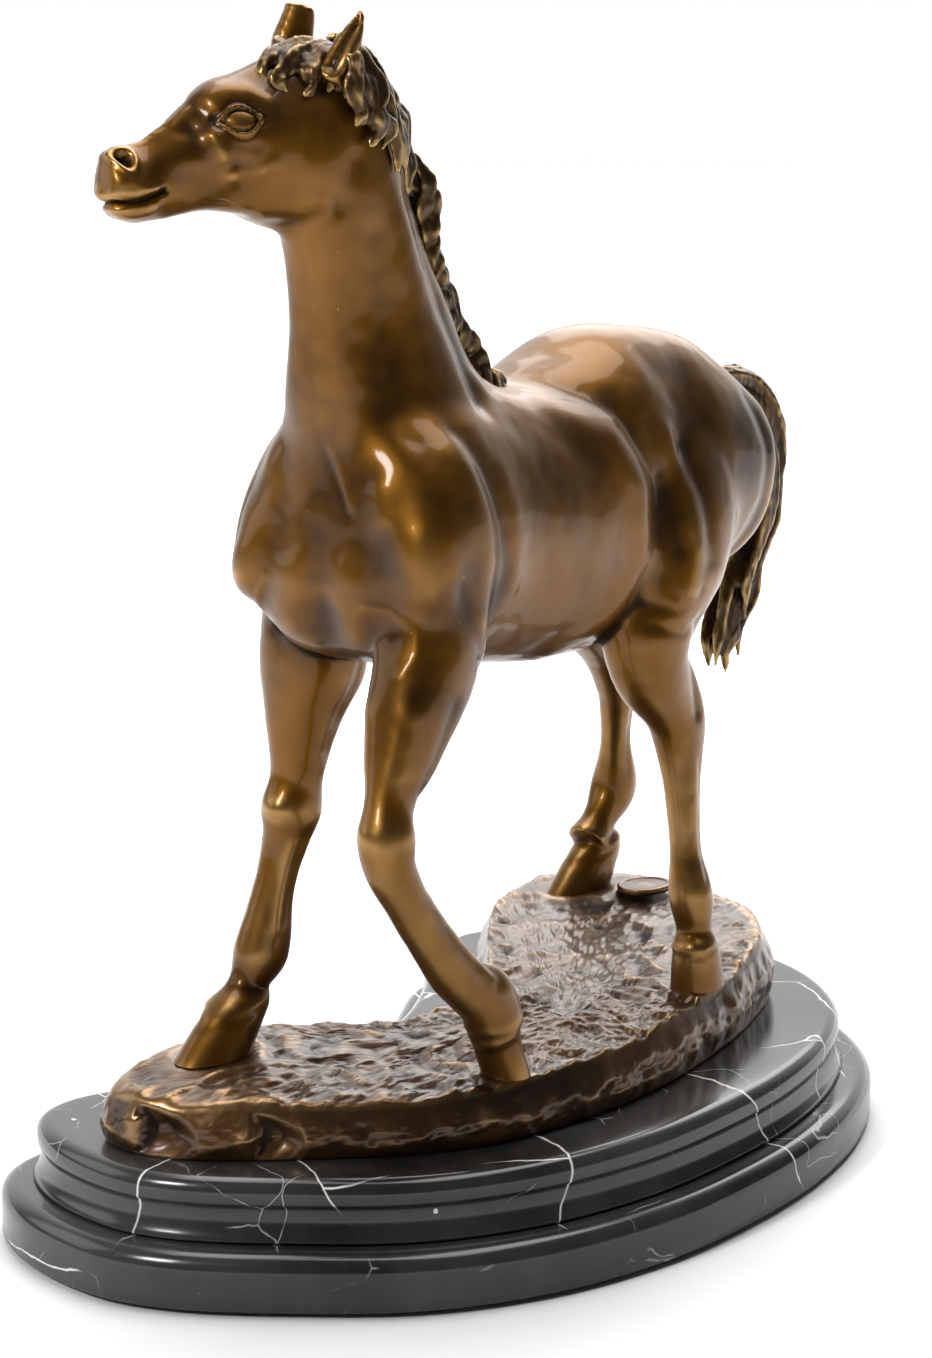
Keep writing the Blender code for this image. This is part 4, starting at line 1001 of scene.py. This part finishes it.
def clay(x, y):
    at = Vector((x, y, 0))
    warp = Vector((noise.noise(at * 0.05), noise.noise(at * 0.05 + Vector((9, 4, 1))), 0)) * 9
    ripple = 1 - abs(noise.noise((at + warp) * 0.075)) * 2
    ridge = 1 - abs(noise.noise((at + warp * 0.6) * 0.17 + Vector((3, 7, 5)))) * 2
    pit = noise.cell(at * 0.21 + warp * 0.02)
    return (1.35 * ripple + 0.55 * ridge + 0.40 * noise.noise(at * 0.33)
            + 0.12 * noise.noise(at * 0.8) + 0.3 * pit)


def buildGround():
    outline = closedCurve(base["groundOutline"], base["groundSides"])
    side = outwardOf(outline)
    heart = np.array(base["groundHeart"], float)
    foot = base["groundFoot"]
    wobble = np.array([noise.noise(Vector((x * 0.045, y * 0.045, 2))) for x, y in outline])
    crumb = np.array([noise.noise(Vector((x * 0.16, y * 0.16, 5))) for x, y in outline])
    rings = []
    for share in np.linspace(0, 1, base["wallRows"]):
        lean = 1.6 * math.sin(math.pi * min(share * 1.15, 1)) - 2.6 * share**5
        out = lean + (1.1 * wobble + 0.5 * crumb) * math.sin(math.pi * min(share + 0.12, 1)) - 0.6
        rim = outline + side * np.asarray(out)[:, None]
        top = groundHeight(rim[:, 0], rim[:, 1]) - 1.7
        z = foot + (top - foot) * share
        wall = np.array([noise.noise(Vector((p[0] * 0.11, p[1] * 0.11, h * 0.17)))
                         + 0.5 * abs(noise.noise(Vector((p[0] * 0.3, p[1] * 0.3, h * 0.4))))
                         for p, h in zip(rim, z)])
        rim = rim + side * (base["wallDepth"] * wall * math.sin(math.pi * share))[:, None]
        for fx, fy, reach in base["brokenFaces"]:
            toward = np.array((fx, fy), float) / math.hypot(fx, fy)
            over = (rim - (fx, fy)) @ toward
            near = np.hypot(rim[:, 0] - fx, rim[:, 1] - fy) < reach
            rim = rim - toward * (np.clip(over, 0, 6) * near * math.sin(math.pi * min(share * 1.1, 1)))[:, None]
        rings.append(np.column_stack([rim, z]))
    edge = rings[-1][:, :2]
    for share in np.concatenate([[0.988, 0.972, 0.955], np.linspace(0.94, 0.02, 66)]):
        inner = heart + (edge - heart) * share
        dip = 1.4 * math.exp(-(1 - share) / 0.012)
        z = groundHeight(inner[:, 0], inner[:, 1]) - dip
        amount = np.array([clay(x, y) for x, y in inner]) - 1.1
        for hx, hy, hz, toe, heel, w, lean, top, tall in horse["hooves"]:
            across = np.where(inner[:, 0] > hx, toe / 12.0, heel / 12.0)
            gap = np.hypot((inner[:, 0] - hx) / across, inner[:, 1] - hy)
            near = np.exp(-((gap / 15.0) ** 4))
            z = z * (1 - near) + (hz - 0.2) * near
            amount = amount * (1 - near)
            z = z + 0.7 * np.exp(-(((gap - 13.5) / 2.6) ** 2))
        mx, my = base["medallionSpot"]
        amount = amount * (1 - np.exp(-((np.hypot(inner[:, 0] - mx, inner[:, 1] - my) / 14.0) ** 4)))
        rings.append(np.column_stack([inner, z + amount * min(1.0, (1 - share) * 14 + 0.45)]))
    points, faces = ringed(rings, np.array([[*heart, groundHeight(*heart)]]))
    mesh = meshOf("clayGround", points, faces)
    keepRelief(mesh, 16, 1.6)
    return mesh


# profiles as (offset from the outline, z), each up to where its rounded top edge begins
slabs = {
    "lower": ((-1.6, 1.5), (-0.6, 1.7), (0, 2.3), (0, 6), (0, 10)),
    "lowerEdge": (0, 19.7, 6.0), "lowerFlat": (-14, 19.7),
    "upper": ((1.2, 20), (2.0, 20.4), (1.9, 21.2), (1.1, 22.4), (0.3, 23.8), (-0.3, 25.4), (-0.6, 27),
              (-0.8, 29), (-0.8, 31), (-0.4, 31.5), (0.2, 31.9), (0.4, 32.6)),
    "upperEdge": (0.4, 40.0, 5.0), "upperFlat": (-9, 40.0),
    "felt": ((-4.3, 0.0), (-4.0, 0.25), (-3.95, 0.6), (-4.05, 0.95), (-4.4, 1.2)), "fray": 0.12,
}


def roundedEdge(offset, z, radius, steps=10):
    turns = [math.pi / 2 * k / steps for k in range(steps + 1)]
    return [(offset - radius + radius * math.cos(t), z - radius + radius * math.sin(t)) for t in turns]


def slab(profile, inset):
    outline = closedCurve(base["slabOutline"], base["slabSides"])
    side = outwardOf(outline)
    outline = outline - side * inset
    rings = [np.column_stack([outline + side * offset, np.full(len(outline), z)]) for offset, z in profile]
    return ringed(rings)


def buildMarble():
    for tier, inset in (("lower", 0.0), ("upper", base["upperInset"])):
        name = "marble" + tier.title()
        profile = [*slabs[tier], *roundedEdge(*slabs[tier + "Edge"]), slabs[tier + "Flat"]]
        mesh = meshOf(name, *slab(profile, inset))
        for polygon in mesh.polygons:
            polygon.use_smooth = len(polygon.vertices) <= 4
        shown(name, mesh, marble, "black_marble", f"marble_{tier}_slab", smooth=False)


def buildFelt():
    outline = closedCurve(base["slabOutline"], base["slabSides"])
    side = outwardOf(outline)
    fray = np.array([noise.noise(Vector((x * 0.7, y * 0.7, 3))) for x, y in outline])
    rings = []
    for offset, z in slabs["felt"]:
        rings.append(np.column_stack([outline + side * (offset + slabs["fray"] * fray)[:, None],
                                      np.full(len(outline), z)]))
    points, faces = ringed(rings)
    piece = shown("feltPad", meshOf("feltPad", points, faces), felt, "felt", "felt_sheet")


seal = {
    # (radius, z) of the rim, then of the dome at the centre
    "rim": ((10.2, -1.0), (10.5, -0.6), (10.5, 0.8), (10.3, 1.15), (9.9, 1.3), (9.3, 1.3), (9.0, 1.15),
            (8.6, 0.78), (8.3, 0.7)),
    "dome": ((3.6, 1.0), (2.6, 1.25), (1.4, 1.35)), "peak": 1.38,
    "sides": 120, "ropeTurns": 36, "ropeDepth": 0.10, "tilt": (3, 2), "lift": 2.6,
}


def buildMedallion():
    x, y = base["medallionSpot"]
    profile = list(seal["rim"])
    profile += [(8.3 - 0.75 * k, 0.7 + 0.16 * (1 if k % 2 else -0.2)) for k in range(1, 6)]
    profile += seal["dome"]
    count = seal["sides"]
    turn = 2 * np.pi * np.arange(count) / count
    rings = []
    for r, z in profile:
        rope = seal["ropeDepth"] * np.sin(turn * seal["ropeTurns"]) * (9.2 < r < 10.4)
        rings.append(np.column_stack([r * np.cos(turn), r * np.sin(turn), z + rope]))
    points, faces = ringed(rings, np.array([[0, 0, seal["peak"]]]))
    aboutX, aboutY = (math.radians(turned) for turned in seal["tilt"])
    spin = Matrix.Rotation(aboutX, 3, "X") @ Matrix.Rotation(aboutY, 3, "Y")
    points = points @ np.array(spin).T + (x, y, float(groundHeight(x, y)) + seal["lift"])
    mesh = meshOf("sealDisc", points, faces)
    keepRelief(mesh, 6, 0.5)
    shown("sealDisc", mesh, groundBronze, "ground_bronze", "foundry_medallion")


shown("clayGround", buildGround(), groundBronze, "ground_bronze", "ground_casting")
buildMarble()
buildFelt()
buildMedallion()
for nodeName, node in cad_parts.items():
    if not node.hide_render:
        node.data.materials.clear()
        node.data.materials.append(zinc)
print("ground, marble, felt and seal made")


# Studio

studio = {
    "camera": (0.810, 0.621, 0.371), "yaw": 218.0, "pitch": 11.0, "lens": 80.0,
    "brightSide": (-0.78, -0.62, 0.22), "floorRadius": 14, "floorSides": 96,
    # place, aim, size, power
    "lamps": (
        ((-0.25, -0.10, 1.45), (0, 0, 0.2), (1.2, 1.1), 21.0),
        ((-1.35, -0.60, 1.05), (0, 0, 0.2), (1.2, 0.8), 9.0),
        ((0.75, -1.15, 0.75), (0.05, 0, 0.25), (0.9, 0.9), 4.5),
        ((1.30, -0.15, 1.05), (0.06, 0, 0.25), (0.24, 0.32), 11.0),
    ),
}


def buildStudio():
    scene = bpy.context.scene
    camera = bpy.data.objects.new("camera", bpy.data.cameras.new("camera"))
    scene.collection.objects.link(camera)
    camera.data.lens = studio["lens"]
    camera.data.sensor_fit = "VERTICAL"
    camera.data.sensor_height = camera.data.sensor_width = 36.0
    camera.data.clip_start = 0.01
    yaw, pitch = math.radians(studio["yaw"]), math.radians(studio["pitch"])
    ahead = Vector((math.cos(yaw) * math.cos(pitch), math.sin(yaw) * math.cos(pitch), -math.sin(pitch)))
    right = Vector((math.sin(yaw), -math.cos(yaw), 0))
    turn = Matrix((right, right.cross(ahead), -ahead)).transposed().to_4x4()
    turn.translation = studio["camera"]
    camera.matrix_world = turn
    scene.camera = camera
    for place, aim, size, power in studio["lamps"]:
        lamp = bpy.data.objects.new("softbox", bpy.data.lights.new("softbox", "AREA"))
        lamp.data.shape = "RECTANGLE"
        lamp.data.size, lamp.data.size_y = size
        lamp.data.energy = power
        lamp.location = place
        lamp.rotation_euler = (Vector(aim) - Vector(place)).to_track_quat("-Z", "Y").to_euler()
        scene.collection.objects.link(lamp)
    world = bpy.data.worlds.new("studio")
    world.use_nodes = True
    background = world.node_tree.nodes["Background"]
    scene.world = world
    sky = Finish("", world.node_tree)
    direction = sky.node("TexCoord", out="Generated")
    towards = sky.node("VectorMath", {"operation": "DOT_PRODUCT"}, 
                       {0: direction, 1: studio["brightSide"]}, "Value")
    dim = 0.07 + 1.35 * sky.step(towards, 0.50, 0.90)
    seen = sky.node("LightPath", out="Is Camera Ray")
    strength = dim * (1 - seen) + seen
    plug(sky.tree, background.inputs["Strength"], strength)
    background.inputs["Color"].default_value = (1, 1, 1, 1)
    disc = bpy.data.meshes.new("floor")
    count, radius = studio["floorSides"], studio["floorRadius"]
    turns = np.linspace(0, 2 * np.pi, count, endpoint=False)
    rim = np.column_stack([radius * np.cos(turns), radius * np.sin(turns), np.zeros(count)])
    disc.from_pydata(rim.tolist(), [], [tuple(range(count))])
    floor = bpy.data.objects.new("floor", disc)
    scene.collection.objects.link(floor)
    paper = Finish("white paper with painted glow")
    speck = paper.grain(30, 3, 0.5)
    # painted glow: the floor gives off white light of its own from 0.28 m out, fully past 0.75 m, though it is
    # no lamp; nearer the middle only the lamps light it
    far = paper.node("VectorMath", {"operation": "LENGTH"}, {0: paper.spot()}, "Value")
    glow = paper.step(far, 0.28, 0.75)
    plug(paper.tree, paper.shader.inputs["Emission Strength"], 1.0)
    plug(paper.tree, paper.shader.inputs["Emission Color"], paper.mix(glow, (0, 0, 0), (1, 1, 1)))
    grey = paper.mix(speck, (0.90, 0.90, 0.90), (0.94, 0.94, 0.94))
    disc.materials.append(paper.set(colour=grey, roughness=0.6 + 0.1 * speck))
    scene.view_settings.view_transform = "Standard"
    scene.view_settings.look = "None"


buildStudio()
print("studio set")
